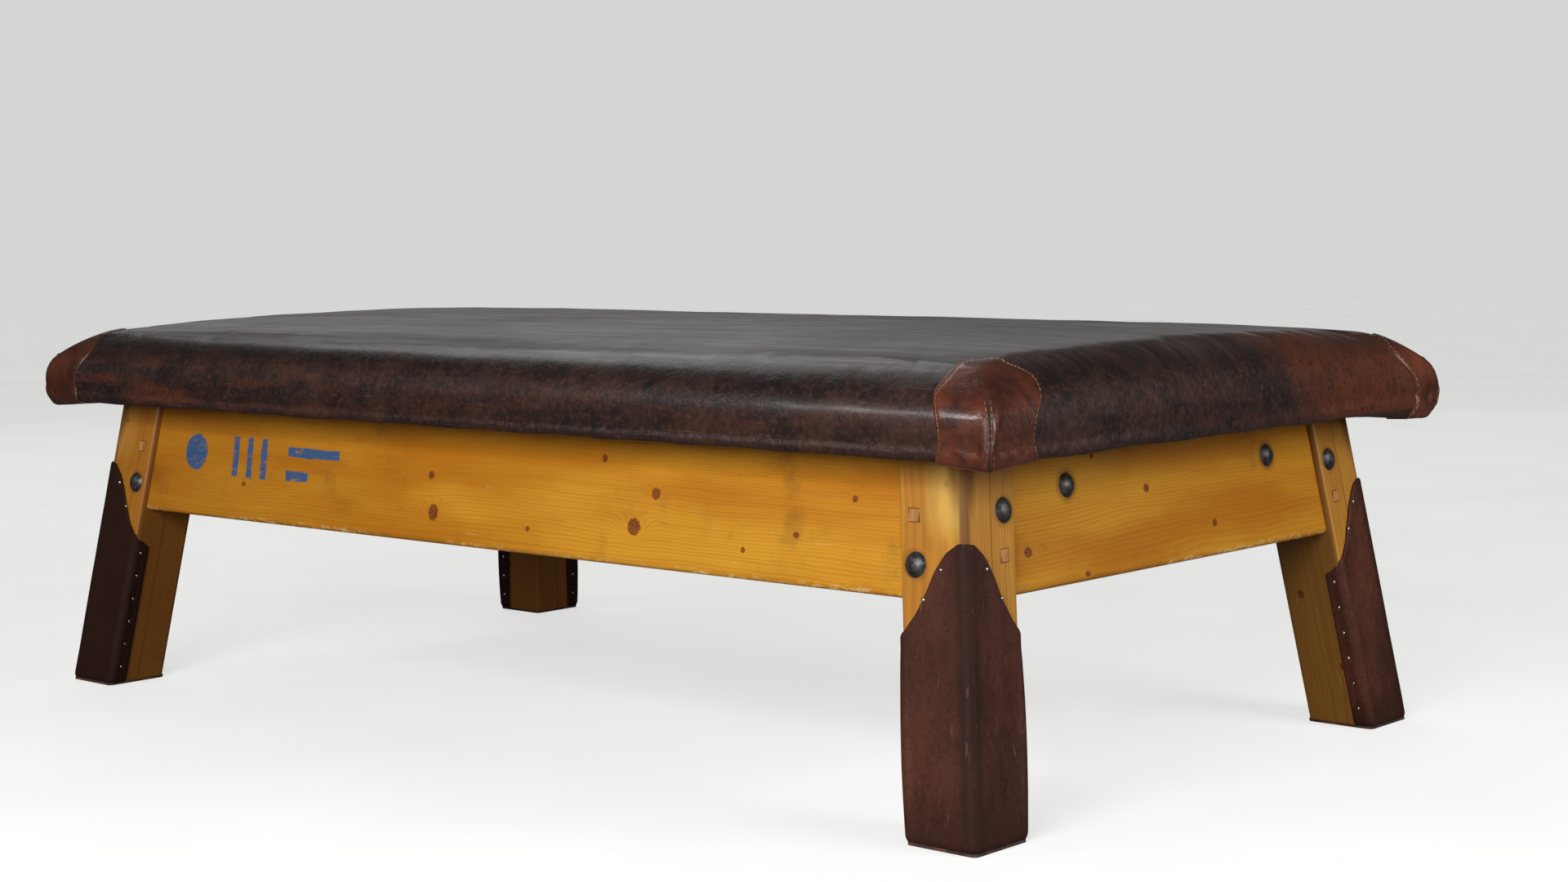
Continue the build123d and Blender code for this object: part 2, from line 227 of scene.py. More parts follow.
def filled(loop, count_x, count_y):
    """A grid whose edge is the loop, blended across from its four sides."""
    front = np.concatenate([loop[:count_x], loop[count_x : count_x + 1]])
    right = loop[count_x : count_x + count_y + 1]
    back = loop[count_x + count_y : 2 * count_x + count_y + 1][::-1]
    left = np.concatenate([loop[2 * count_x + count_y :], loop[:1]])[::-1]
    u = np.linspace(0, 1, count_x + 1)[:, None, None]
    v = np.linspace(0, 1, count_y + 1)[None, :, None]
    grid = (1 - v) * front[:, None] + v * back[:, None] + (1 - u) * left[None] + u * right[None]
    corners = (1 - u) * (1 - v) * front[0] + u * (1 - v) * front[-1]
    corners = corners + (1 - u) * v * back[0] + u * v * back[-1]
    return grid - corners


def ring_faces(rings, size):
    faces = []
    for j in range(rings - 1):
        for i in range(size):
            k = (i + 1) % size
            faces.append((j * size + i, j * size + k, (j + 1) * size + k, (j + 1) * size + i))
    return faces


def cover_mesh(spacing):
    """The outside of the cover, from the edge that is turned in under the boards to the crown."""
    count_x, count_y = round(2 * COVER_X / spacing), round(2 * COVER_Y / spacing)
    stops = list(np.linspace(-(FOLD - HEM_ROLL), -2 * MM, 5)) + [0.0, 0.5 * HEM_TURN]
    stops += list(np.linspace(HEM_TURN, SIDE_LENGTH, 8))
    stops += list(np.linspace(SIDE_LENGTH, SIDE_LENGTH + SHOULDER_LENGTH + 16 * MM, 14)[1:])
    points = []
    for t in stops:
        inset, z, radius = profile(t)
        loop = outline(COVER_X - inset, COVER_Y - inset, radius, count_x, count_y)
        points.append(np.column_stack(settle(loop[:, 0], loop[:, 1], np.full(len(loop), z))))
    size = len(loop)
    faces = ring_faces(len(stops), size)
    grid = filled(loop, count_x, count_y)
    first = len(stops) * size
    index = np.zeros((count_x + 1, count_y + 1), int)
    last_ring = first - size
    index[:, 0] = last_ring + np.arange(count_x + 1)
    index[-1, :] = last_ring + count_x + np.arange(count_y + 1)
    index[:, -1] = last_ring + count_x + count_y + np.arange(count_x, -1, -1)
    index[0, 1:] = last_ring + (2 * count_x + count_y + np.arange(count_y - 1, -1, -1)) % size
    inner = grid[1:-1, 1:-1].reshape(-1, 2)
    index[1:-1, 1:-1] = first + np.arange(len(inner)).reshape(count_x - 1, count_y - 1)
    inner_x, inner_y = inner[:, 0], inner[:, 1]
    points.append(np.column_stack([inner_x, inner_y, crown(inner_x, inner_y)]))
    for i in range(count_x):
        for j in range(count_y):
            faces.append((index[i, j], index[i + 1, j], index[i + 1, j + 1], index[i, j + 1]))
    return np.concatenate(points), faces


def swell(piece):
    """Inflates a piece a little with a cloth simulation whose hem is held."""
    start = coordinates(piece.data)
    held = piece.vertex_groups.new(name="held")
    low = np.nonzero(start[:, 2] < HEM + 9 * MM)[0]
    held.add([int(i) for i in low], 1.0, "REPLACE")
    settings = piece.modifiers.new("cloth", "CLOTH").settings
    settings.quality = 6
    settings.mass = 0.4
    settings.tension_stiffness = settings.compression_stiffness = 25
    settings.shear_stiffness = 12
    settings.bending_stiffness = 1.5
    settings.vertex_group_mass = "held"
    settings.use_pressure = True
    settings.uniform_pressure_force = SWELL_PRESSURE
    settings.shrink_min = -0.006
    settings.effector_weights.gravity = 0
    scene = bpy.context.scene
    for step in range(1, SWELL_STEPS + 1):
        scene.frame_set(step)
    evaluated = piece.evaluated_get(bpy.context.evaluated_depsgraph_get())
    moved = coordinates(evaluated.data) - start
    scene.frame_set(1)
    piece.modifiers.clear()
    piece.vertex_groups.clear()
    length = np.linalg.norm(moved, axis=1, keepdims=True)
    moved *= np.minimum(1, SWELL_CAP / np.maximum(length, 1e-9))
    set_coordinates(piece.data, start + moved)


def stitched_top(material):
    """The leather cover, stuffed and handled for years.

    Returns its outside, for the patches and the thread to lie on.
    """
    points, faces = cover_mesh(COVER_SPACING)
    cover = mesh_object("leather_cover_skin", points, faces, material)
    swell(cover)
    co = coordinates(cover.data)
    normals = np.array([v.normal for v in cover.data.vertices])
    free = smooth_step(HEM + 8 * MM, HEM + 40 * MM, co[:, 2])
    lumps = 1.3 * MM * wave_noise(co * [0.6, 1, 1], 0.17, 1) + 0.7 * MM * wave_noise(co, 0.06, 2)
    puckers = 0.5 * MM * wave_noise(co * [1, 1, 0.25], 0.022, 3)
    hem_zone = 1 - smooth_step(HEM, HEM + 30 * MM, co[:, 2])
    hem_zone *= smooth_step(HEM - 12 * MM, HEM + 1 * MM, co[:, 2])
    co += normals * (free * lumps + hem_zone * puckers)[:, None]
    set_coordinates(cover.data, co)
    shell = cover.modifiers.new("shell", "SOLIDIFY")
    shell.thickness, shell.offset = LEATHER, -1
    rounding = cover.modifiers.new("rounding", "SUBSURF")
    rounding.levels = rounding.render_levels = 1
    skin = BVHTree.FromPolygons([Vector(p) for p in co], faces)
    apply_modifiers(cover)
    cover.data.shade_smooth()
    body_piece(cover, ["leather_cover", "hessian_liner", "horsehair_padding"])
    return skin


# ---------------------------------------------------------------- corner patches and thread


def near_corner(s, t):
    """A point of the form by distance round from the +X -Y corner and distance up from the hem."""
    inset, z, radius = profile(t)
    half_x, half_y = COVER_X - inset, COVER_Y - inset
    arc = radius * math.pi / 4
    if abs(s) <= arc:
        angle = s / radius - math.pi / 4
        return half_x - radius + radius * math.cos(angle), radius - half_y + radius * math.sin(angle), z
    if s < 0:
        return half_x - radius + s + arc, -half_y, z
    return half_x, radius - half_y + s - arc, z


def form_point(s, t, side_x, side_y):
    """The same point on the crowned and drooping form, at any corner."""
    x, y, z = near_corner(s, t)
    return np.array([float(value) for value in settle(side_x * x, -side_y * y, z)])


def on_cover(s, t, height, sides, skin):
    """A point that height above the finished cover, and the form's normal there."""
    step = 0.4 * MM
    across = form_point(s + step, t, *sides) - form_point(s - step, t, *sides)
    up = form_point(s, t + step, *sides) - form_point(s, t - step, *sides)
    normal = np.cross(across, up) * (-sides[0] * sides[1])
    normal /= np.linalg.norm(normal)
    base = form_point(s, t, *sides)
    reach = 25 * MM
    hit = skin.ray_cast(Vector(base + reach * normal), Vector(-normal), 2 * reach)
    away = reach - hit[3] if hit[0] is not None else 0.0
    return base + (away + height) * normal, normal


PATCH = 2.1 * MM
PATCHES = {  # shares of the outlines below: along the long side, along the end, and in height
    "front_left": (0.98, 0.86, 0.94),
    "front_right": (1.0, 1.0, 0.98),
    "back_left": (0.92, 0.86, 0.95),
    "back_right": (0.78, 0.63, 0.82),
}
PATCH_FOOT = -14 * MM  # how far a patch runs in under the hem
SIDE_SHARE = 0.62  # of a half patch's edge, from the hem to where it leans over the top
# Half outlines as (distance round from the corner, distance up from the hem) in mm
LONG_EDGE = [(60, -14), (60, 7), (64, 31), (65, 52), (61, 69), (53, 79), (38, 92), (19, 108), (6, 118)]
LONG_EDGE += [(0, 121)]
END_EDGE = [(72, -14), (72, 0), (73, 28), (79, 49), (84, 61), (82, 73), (73, 86), (58, 98), (40, 110)]
END_EDGE += [(26, 118), (11, 121), (0, 121)]


def curve(points, count):
    """A smooth path through points, with evenly spaced steps."""
    before, after = 2 * np.array(points[0]) - points[1], 2 * np.array(points[-1]) - points[-2]
    p = np.array([before, *points, after], float)
    path = []
    for i in range(1, len(p) - 2):
        for t in np.linspace(0, 1, 16, endpoint=False):
            a, b, c, d = p[i - 1 : i + 3]
            square, cube = 2 * a - 5 * b + 4 * c - d, 3 * b - a - 3 * c + d
            path.append(0.5 * (2 * b + (c - a) * t + square * t**2 + cube * t**3))
    return even(np.array(path + [p[-2]]), count)


def patch_edge(points, width, height):
    """The edge of half a patch from under the hem, up its side and over to the corner's line."""
    scaled = [(s * width * MM, t * MM if t < 0 else t * height * MM) for s, t in points]
    return curve(scaled, 161)


def even(path, count):
    """The same path with evenly spaced points."""
    along = np.concatenate([[0], np.cumsum(np.linalg.norm(np.diff(path, axis=0), axis=1))])
    at = np.linspace(0, along[-1], count)
    return np.stack([np.interp(at, along, path[:, k]) for k in range(path.shape[1])], axis=1)


def crowded(count):
    """Steps from 0 to 1 that crowd towards both ends."""
    t = np.linspace(0, 1, count)
    return 0.25 * t + 0.75 * (0.5 - 0.5 * np.cos(math.pi * t))


def half_patch(edge, columns, rows):
    """A grid of (s, t) from the corner seam out to the edge, blended from its four sides."""
    turn = int(SIDE_SHARE * (len(edge) - 1))
    outer, over = edge[: turn + 1], edge[turn:][::-1]
    u, v = crowded(columns), crowded(rows)

    def along(path, shares):
        fine = even(path, 400)
        return np.stack([np.interp(shares, np.linspace(0, 1, 400), fine[:, k]) for k in (0, 1)], axis=1)

    foot = along(np.array([(0, PATCH_FOOT), tuple(edge[0])]), u)
    seam = along(np.array([(0, PATCH_FOOT), tuple(edge[-1])]), v)
    side, ridge = along(outer, v), along(over, u)
    a, b = u[:, None, None], v[None, :, None]
    grid = (1 - b) * foot[:, None] + b * ridge[:, None] + (1 - a) * seam[None] + a * side[None]
    corners = (1 - a) * (1 - b) * foot[0] + a * (1 - b) * foot[-1]
    corners = corners + (1 - a) * b * ridge[0] + a * b * ridge[-1]
    return grid - corners


def distance_to(path, points):
    """How far each (s, t) point is from a finely divided path."""
    fine = even(path, 500)
    gaps = np.linalg.norm(points[:, None] - fine[None], axis=2)
    return gaps.min(axis=1)


STITCH_INSET = 3.4 * MM  # of the thread from a patch's edge
STITCH_PITCH = 6.2 * MM
SEAM_ROW = 2.9 * MM  # of the thread beside the corner seam
THREAD_RADIUS = 0.45 * MM
SEAM_TOP = 68 * MM  # where the corner seam ends


def patch_height(points, edge):
    """Thickness of a patch over its (s, t) points: skived edge, thread groove and corner seam."""
    gap = distance_to(edge, points)
    height = PATCH * np.sqrt(smooth_step(-0.4 * MM, 2.0 * MM, gap)) - 0.25 * MM
    height -= 0.55 * MM * np.exp(-(((gap - STITCH_INSET) / (0.9 * MM)) ** 2))
    s, t = np.abs(points[:, 0]), points[:, 1]
    seam = 1 - smooth_step(SEAM_TOP - 12 * MM, SEAM_TOP, t)
    lip = 0.9 * MM * np.exp(-(((s - 1.6 * MM) / (1.5 * MM)) ** 2))
    valley = 1.5 * MM * np.exp(-((s / (0.8 * MM)) ** 2))
    row = 0.3 * MM * np.exp(-(((s - SEAM_ROW) / (0.6 * MM)) ** 2))
    return height + seam * (lip - valley - row)


def patch_edges(name):
    """The edges of a patch's two halves, each with its direction from the corner."""
    width_x, width_y, height = PATCHES[name]
    return (-1, patch_edge(LONG_EDGE, width_x, height)), (1, patch_edge(END_EDGE, width_y, height))


def leather_sheet(kind, name, points, columns, thickness, material):
    """A sheet from a grid of points on its outside, stored column by column, in a CAD node's place."""
    rows = len(points) // columns
    faces = [
        (i * rows + j, (i + 1) * rows + j, (i + 1) * rows + j + 1, i * rows + j + 1)
        for i in range(columns - 1)
        for j in range(rows - 1)
    ]
    sheet = mesh_object(f"{kind}_skin_{name}", points, faces, material)
    shell = sheet.modifiers.new("shell", "SOLIDIFY")
    shell.thickness, shell.offset = thickness, -1
    body_piece(sheet, [f"{kind}_{name}"])


def mirrored(points, rows):
    """The same grid with its columns in the opposite order, so that its faces turn over."""
    return np.array(points).reshape(-1, rows, 3)[::-1].reshape(-1, 3)


def corner_patch(name, material, skin):
    """A leather patch sewn over one corner of the cover."""
    sides = CORNERS[name]
    columns, rows = 34, 66
    grids = []
    for direction, edge in patch_edges(name):
        grid = half_patch(edge, columns, rows)
        height = patch_height(grid.reshape(-1, 2), edge).reshape(columns, rows)
        grid[..., 0] *= direction
        grids.append((grid, height))
    left, right = grids
    grid = np.concatenate([left[0][::-1], right[0][1:]])
    height = np.concatenate([left[1][::-1], right[1][1:]])
    points = []
    for i in range(grid.shape[0]):
        for j in range(rows):
            s, t = grid[i, j]
            points.append(on_cover(s, t, height[i, j], sides, skin)[0])
    if sides[0] * sides[1] > 0:
        points = mirrored(points, rows)
    leather_sheet("corner_patch", name, points, grid.shape[0], 1.0 * MM, material)


def tubes(paths, radius, sides=6):
    """Points and faces of round closed tubes that taper at both ends."""
    points, faces = [], []
    for path in paths:
        path = np.array(path)
        tangents = np.gradient(path, axis=0)
        tangents /= np.linalg.norm(tangents, axis=1, keepdims=True)
        helper = np.array([0.3, 0.2, 0.93])
        first = len(points)
        count = len(path)
        for k, (point, tangent) in enumerate(zip(path, tangents)):
            across = np.cross(tangent, helper)
            across /= np.linalg.norm(across)
            up = np.cross(across, tangent)
            size = radius * (0.55 if k in (0, count - 1) else 1.0)
            for side in range(sides):
                angle = 2 * math.pi * side / sides
                points.append(point + size * (math.cos(angle) * across + math.sin(angle) * up))
        for k in range(count - 1):
            for side in range(sides):
                a, b = first + k * sides + side, first + k * sides + (side + 1) % sides
                faces.append((a, a + sides, b + sides, b))
        faces.append(tuple(first + side for side in range(sides)))
        faces.append(tuple(first + (count - 1) * sides + side for side in reversed(range(sides))))
    return points, faces


def stitch(start, end, base, sides, skin):
    """One visible length of thread between two (s, t) points, dipping into its holes."""
    path = []
    for share in np.linspace(0, 1, 7):
        s, t = np.array(start) + share * (np.array(end) - np.array(start))
        lift = base - 0.35 * MM + 0.55 * MM * math.sin(math.pi * share) ** 0.6
        path.append(on_cover(s, t, lift, sides, skin)[0])
    return path


def patch_thread(name, material, skin):
    """The thread round a patch's edge and in two rows beside its corner seam."""
    sides = CORNERS[name]
    paths = []
    for direction, edge in patch_edges(name):
        inner = edge - STITCH_INSET * outward(edge)
        length = np.linalg.norm(np.diff(inner, axis=0), axis=1).sum()
        count = int(length / STITCH_PITCH)
        line = even(inner, 4 * count + 1)
        for k in range(count):
            start, end = line[4 * k], line[4 * k + 3]
            if end[1] < 2 * MM:
                continue
            ends = start * [direction, 1], end * [direction, 1]
            paths.append(stitch(*ends, PATCH - 0.5 * MM, sides, skin))
        t = 5 * MM
        while t < SEAM_TOP - 4 * MM:
            row = direction * SEAM_ROW
            paths.append(stitch((row, t), (row, t + 0.66 * STITCH_PITCH), PATCH + 0.1 * MM, sides, skin))
            t += STITCH_PITCH
    points, faces = tubes(paths, THREAD_RADIUS)
    body_piece(mesh_object("patch_thread_" + name, points, faces, material))


def outward(path):
    """Unit normals of a path in the plane, on its right-hand side."""
    tangent = np.gradient(path, axis=0)
    tangent /= np.linalg.norm(tangent, axis=1, keepdims=True)
    return np.stack([tangent[:, 1], -tangent[:, 0]], axis=1)


# ---------------------------------------------------------------- leg guards

GUARD = 3 * MM
GUARD_TURN = 20 * MM
GUARD_PEAK, GUARD_SIDE, GUARD_TURN_TOP = 281 * MM, 188 * MM, 176 * MM
STRAIGHT = LEG - 2 * ARRIS
BEND = ARRIS * math.pi / 2


def guard_path(p, height):
    """(u, v) at a distance round the leg, that height off the timber.

    u and v are depths from the leg's outer X and Y faces. The path starts at the edge of the
    strip on the inner Y face and ends at the edge of the strip on the inner X face.
    """
    strip = GUARD_TURN - ARRIS
    stretches = [strip, BEND, STRAIGHT, BEND, STRAIGHT, BEND, strip]
    for i, length in enumerate(stretches):
        if p <= length or i == 6:
            break
        p -= length
    radius, turn = ARRIS + height, p / ARRIS
    if i == 0:
        return GUARD_TURN - p, LEG + height
    if i == 1:
        return ARRIS - radius * math.sin(turn), LEG - ARRIS + radius * math.cos(turn)
    if i == 2:
        return -height, LEG - ARRIS - p
    if i == 3:
        return ARRIS - radius * math.cos(turn), ARRIS - radius * math.sin(turn)
    if i == 4:
        return ARRIS + p, -height
    if i == 5:
        return LEG - ARRIS + radius * math.sin(turn), ARRIS - radius * math.cos(turn)
    return LEG + height, ARRIS + p


GUARD_LENGTH = 2 * (GUARD_TURN - ARRIS) + 3 * BEND + 2 * STRAIGHT


def bezier(points, count=200):
    t = np.linspace(0, 1, count)[:, None]
    a, b, c, d = (np.array(p, float) for p in points)
    return (1 - t) ** 3 * a + 3 * (1 - t) ** 2 * t * b + 3 * (1 - t) * t**2 * c + t**3 * d


BELL = bezier(
    [(0, GUARD_PEAK), (34 * MM, GUARD_PEAK), (46 * MM, 212 * MM), (83 * MM, GUARD_SIDE)]
)


def guard_top(p):
    """Height of the guard's upper edge at a distance round the leg."""
    middle = GUARD_LENGTH / 2
    away = abs(p - middle)
    face = STRAIGHT + BEND
    if away < face:
        return float(np.interp(away, BELL[:, 0], BELL[:, 1]))
    share = (away - face) / (middle - face)
    return GUARD_SIDE + share * (GUARD_TURN_TOP - GUARD_SIDE)


def leg_place(u, v, z, sides):
    """A point by its depths from a leg's outer faces."""
    x, y = FOOT_X - SPLAY * z - u, FOOT_Y - SPLAY * z - v
    return sides[0] * x, sides[1] * y, z


def guard_tack_spots():
    """Where the tacks sit on a guard, as (distance round, height)."""
    middle = GUARD_LENGTH / 2
    upper = ((28, 256), (50, 227))
    spots = [(middle + side * depth * MM, z * MM) for side in (-1, 1) for depth, z in upper]
    for i in range(6):
        z = SOLE + 29 * MM * (i + 0.7)
        spots += [(GUARD_TURN / 2, z), (GUARD_LENGTH - GUARD_TURN / 2, z)]
    return np.array(spots)


def leg_guard(name, material, seed):
    """Leather wrapped round a leg, cut to a bell at the top and turned onto the inner faces."""
    sides = CORNERS[name]
    spots = guard_tack_spots()
    columns = np.linspace(0, GUARD_LENGTH, 112)
    bends = (GUARD_TURN - ARRIS + BEND / 2, GUARD_LENGTH - GUARD_TURN + ARRIS - BEND / 2)
    rows = [0, 0.004, 0.009, 0.016, 0.026, *np.linspace(0.04, 0.985, 96), 0.992, 0.997, 1.0]
    points = []
    for p in columns:
        top = guard_top(p)
        top += 0.5 * MM * math.sin(p * 190 + seed) + 0.35 * MM * math.sin(p * 410 + 2 * seed)
        edge_gap = min(p, GUARD_LENGTH - p)
        for q in rows:
            z = SOLE + 0.3 * MM + q * (top - SOLE - 0.3 * MM)
            place = Vector((p * 9, z * 9, seed * 5.3))
            wrinkle = 0.35 * MM * noise.noise(place) + 0.18 * MM * noise.noise(place * 3.7)
            foot = 1 - smooth_step(0, 26 * MM, z - SOLE)
            crease = 0.5 * MM * foot * noise.noise(Vector((p * 60, z * 25, seed)))
            tack = np.exp(-((spots[:, 0] - p) ** 2 + (spots[:, 1] - z) ** 2) / (4.2 * MM) ** 2).max()
            swelling = 2.2 * MM * math.exp(-((min(abs(p - bend) for bend in bends) / (7 * MM)) ** 2))
            swelling *= math.sin(math.pi * z / GUARD_TURN_TOP) ** 0.7 if z < GUARD_TURN_TOP else 0
            lift = (wrinkle + crease + swelling + 0.25 * MM) * (1 - tack)
            tuck = GUARD * (1 - math.sqrt(float(np.clip((z - SOLE) / (5 * MM), 0, 1)))) * 0.85
            rim = min(edge_gap, (1 - q) * (top - SOLE))
            press = 0.9 * MM * (1 - float(smooth_step(0, 2.2 * MM, rim)))
            u, v = guard_path(p, GUARD + lift - tuck - press)
            points.append(leg_place(u, v, z, sides))
    if sides[0] * sides[1] < 0:
        points = mirrored(points, len(rows))
    leather_sheet("leg_guard", name, points, len(columns), 2.2 * MM, material)


# ---------------------------------------------------------------- materials


class Shader:
    """A material in the making. Each method adds one node and returns what comes out of it."""

    def __init__(self, name):
        self.material = bpy.data.materials.new(name)
        self.material.use_nodes = True
        self.tree = self.material.node_tree
        self.tree.nodes.clear()
        self.surface = self.tree.nodes.new("ShaderNodeBsdfPrincipled")
        output = self.tree.nodes.new("ShaderNodeOutputMaterial")
        self.tree.links.new(self.surface.outputs[0], output.inputs[0])
        self.place = self.tree.nodes.new("ShaderNodeTexCoord").outputs["Object"]

    def feed(self, socket, value):
        if isinstance(value, bpy.types.NodeSocket):
            self.tree.links.new(value, socket)
        elif isinstance(value, tuple) and len(value) == 3 and socket.type == "RGBA":
            socket.default_value = (*value, 1)
        else:
            socket.default_value = value

    def set(self, **values):
        """Sets the surface's own inputs: base_color=..., coat_weight=... and so on."""
        for key, value in values.items():
            self.feed(self.surface.inputs[key.replace("_", " ").title().replace("Ior", "IOR")], value)

    def math(self, operation, a, b=0.0, c=0.0):
        node = self.tree.nodes.new("ShaderNodeMath")
        node.operation = operation
        for socket, value in zip(node.inputs, (a, b, c)):
            self.feed(socket, value)
        return node.outputs[0]

    def add(self, *values):
        total = values[0]
        for value in values[1:]:
            total = self.math("ADD", total, value)
        return total

    def times(self, *values):
        total = values[0]
        for value in values[1:]:
            total = self.math("MULTIPLY", total, value)
        return total

    def less(self, a, b):
        return self.math("SUBTRACT", a, b)

    def one_less(self, a):
        return self.math("SUBTRACT", 1.0, a)

    def absolute(self, a):
        return self.math("ABSOLUTE", a)

    def larger(self, a, b):
        return self.math("MAXIMUM", a, b)

    def size(self, a, b):
        """The length of the flat vector (a, b)."""
        return self.math("SQRT", self.add(self.times(a, a), self.times(b, b)))

    def split(self, vector):
        node = self.tree.nodes.new("ShaderNodeSeparateXYZ")
        self.feed(node.inputs[0], vector)
        return node.outputs[0], node.outputs[1], node.outputs[2]

    def join(self, x, y, z):
        node = self.tree.nodes.new("ShaderNodeCombineXYZ")
        for socket, value in zip(node.inputs, (x, y, z)):
            self.feed(socket, value)
        return node.outputs[0]

    def stretched(self, by):
        """The object's own coordinates, each times a number."""
        node = self.tree.nodes.new("ShaderNodeVectorMath")
        node.operation = "MULTIPLY"
        self.feed(node.inputs[0], self.place)
        self.feed(node.inputs[1], by)
        return node.outputs[0]

    def noise(self, vector, scale, detail=2.0, rough=0.5, warp=0.0):
        node = self.tree.nodes.new("ShaderNodeTexNoise")
        self.feed(node.inputs["Vector"], vector)
        node.inputs["Scale"].default_value = scale
        node.inputs["Detail"].default_value = detail
        node.inputs["Roughness"].default_value = rough
        node.inputs["Distortion"].default_value = warp
        return node.outputs[0]

    def mottle(self, scale, detail=2.0, rough=0.5, warp=0.0):
        """Noise over the object's own coordinates."""
        return self.noise(self.place, scale, detail, rough, warp)

    def streaks(self, distances, scales, detail=2.0, rough=0.5, warp=0.0):
        """Noise over three distances, each with its own scale."""
        vector = self.join(*(self.times(*pair) for pair in zip(distances, scales)))
        return self.noise(vector, 1.0, detail, rough, warp)

    def cells(self, scale, feature="F1"):
        node = self.tree.nodes.new("ShaderNodeTexVoronoi")
        node.feature = feature
        self.feed(node.inputs["Vector"], self.place)
        node.inputs["Scale"].default_value = scale
        return node.outputs[0]

    def ramp(self, value, low, high, start=0.0, end=1.0):
        """Start below low, end above high and smooth between."""
        node = self.tree.nodes.new("ShaderNodeMapRange")
        node.interpolation_type = "SMOOTHSTEP"
        for socket, v in zip(node.inputs, (value, low, high, start, end)):
            self.feed(socket, v)
        return node.outputs[0]

    def fall(self, value, low, high):
        """1 below low, 0 above high and smooth between."""
        return self.ramp(value, low, high, 1.0, 0.0)

    def blend(self, share, a, b):
        node = self.tree.nodes.new("ShaderNodeMix")
        node.data_type = "RGBA"
        self.feed(node.inputs[0], share)
        self.feed(node.inputs[6], a)
        self.feed(node.inputs[7], b)
        return node.outputs[2]

    def tint(self, tone, colour, *shares):
        """The tone moved towards a colour by the product of the shares."""
        return self.blend(self.times(*shares), tone, colour)

    def bump(self, height, distance, normal=None):
        """Relief: height is in units of distance, which is in metres."""
        node = self.tree.nodes.new("ShaderNodeBump")
        node.inputs["Strength"].default_value = 1.0
        node.inputs["Distance"].default_value = distance
        self.feed(node.inputs["Height"], height)
        if normal:
            self.feed(node.inputs["Normal"], normal)
        return node.outputs[0]


def colour(red, green, blue):
    """A linear colour from display values of 0 to 255."""
    shares = (value / 255 for value in (red, green, blue))
    return tuple(v / 12.92 if v <= 0.04045 else ((v + 0.055) / 1.055) ** 2.4 for v in shares)


def leather_grain(sh, pores=420.0, creases=60.0):
    """Pebbled grain with creases, as a height from about 0 to 1."""
    pebble = sh.cells(pores, "SMOOTH_F1")
    fine = sh.mottle(pores * 2.2, 2.0)
    crease = sh.absolute(sh.less(sh.mottle(creases, 5.0, 0.6, 0.4), 0.5))
    crease = sh.ramp(crease, 0.0, 0.035)
    return sh.add(sh.times(pebble, 0.5), sh.times(fine, 0.25), sh.times(crease, 0.25)), crease


def scratches(sh, along, across, depth, length=9.0, count=260.0, amount=0.05):
    """Fine scratches along one direction, as a mask."""
    line = sh.streaks((along, across, depth), (length, count, count), 3.0, 0.6, 0.3)
    return sh.ramp(line, 0.70 - amount, 0.78 - amount)


COVER_DARK = colour(27, 18, 17)
COVER_BROWN = colour(54, 33, 26)
COVER_RED = colour(90, 44, 28)
COVER_END = colour(96, 46, 24)
COVER_TOP_SHEEN = colour(72, 60, 58)
COVER_SCRATCH = colour(124, 100, 84)
COVER_FLECK = colour(78, 50, 38)
COVER_FLECK_AND_SHADE = colour(16, 11, 11)


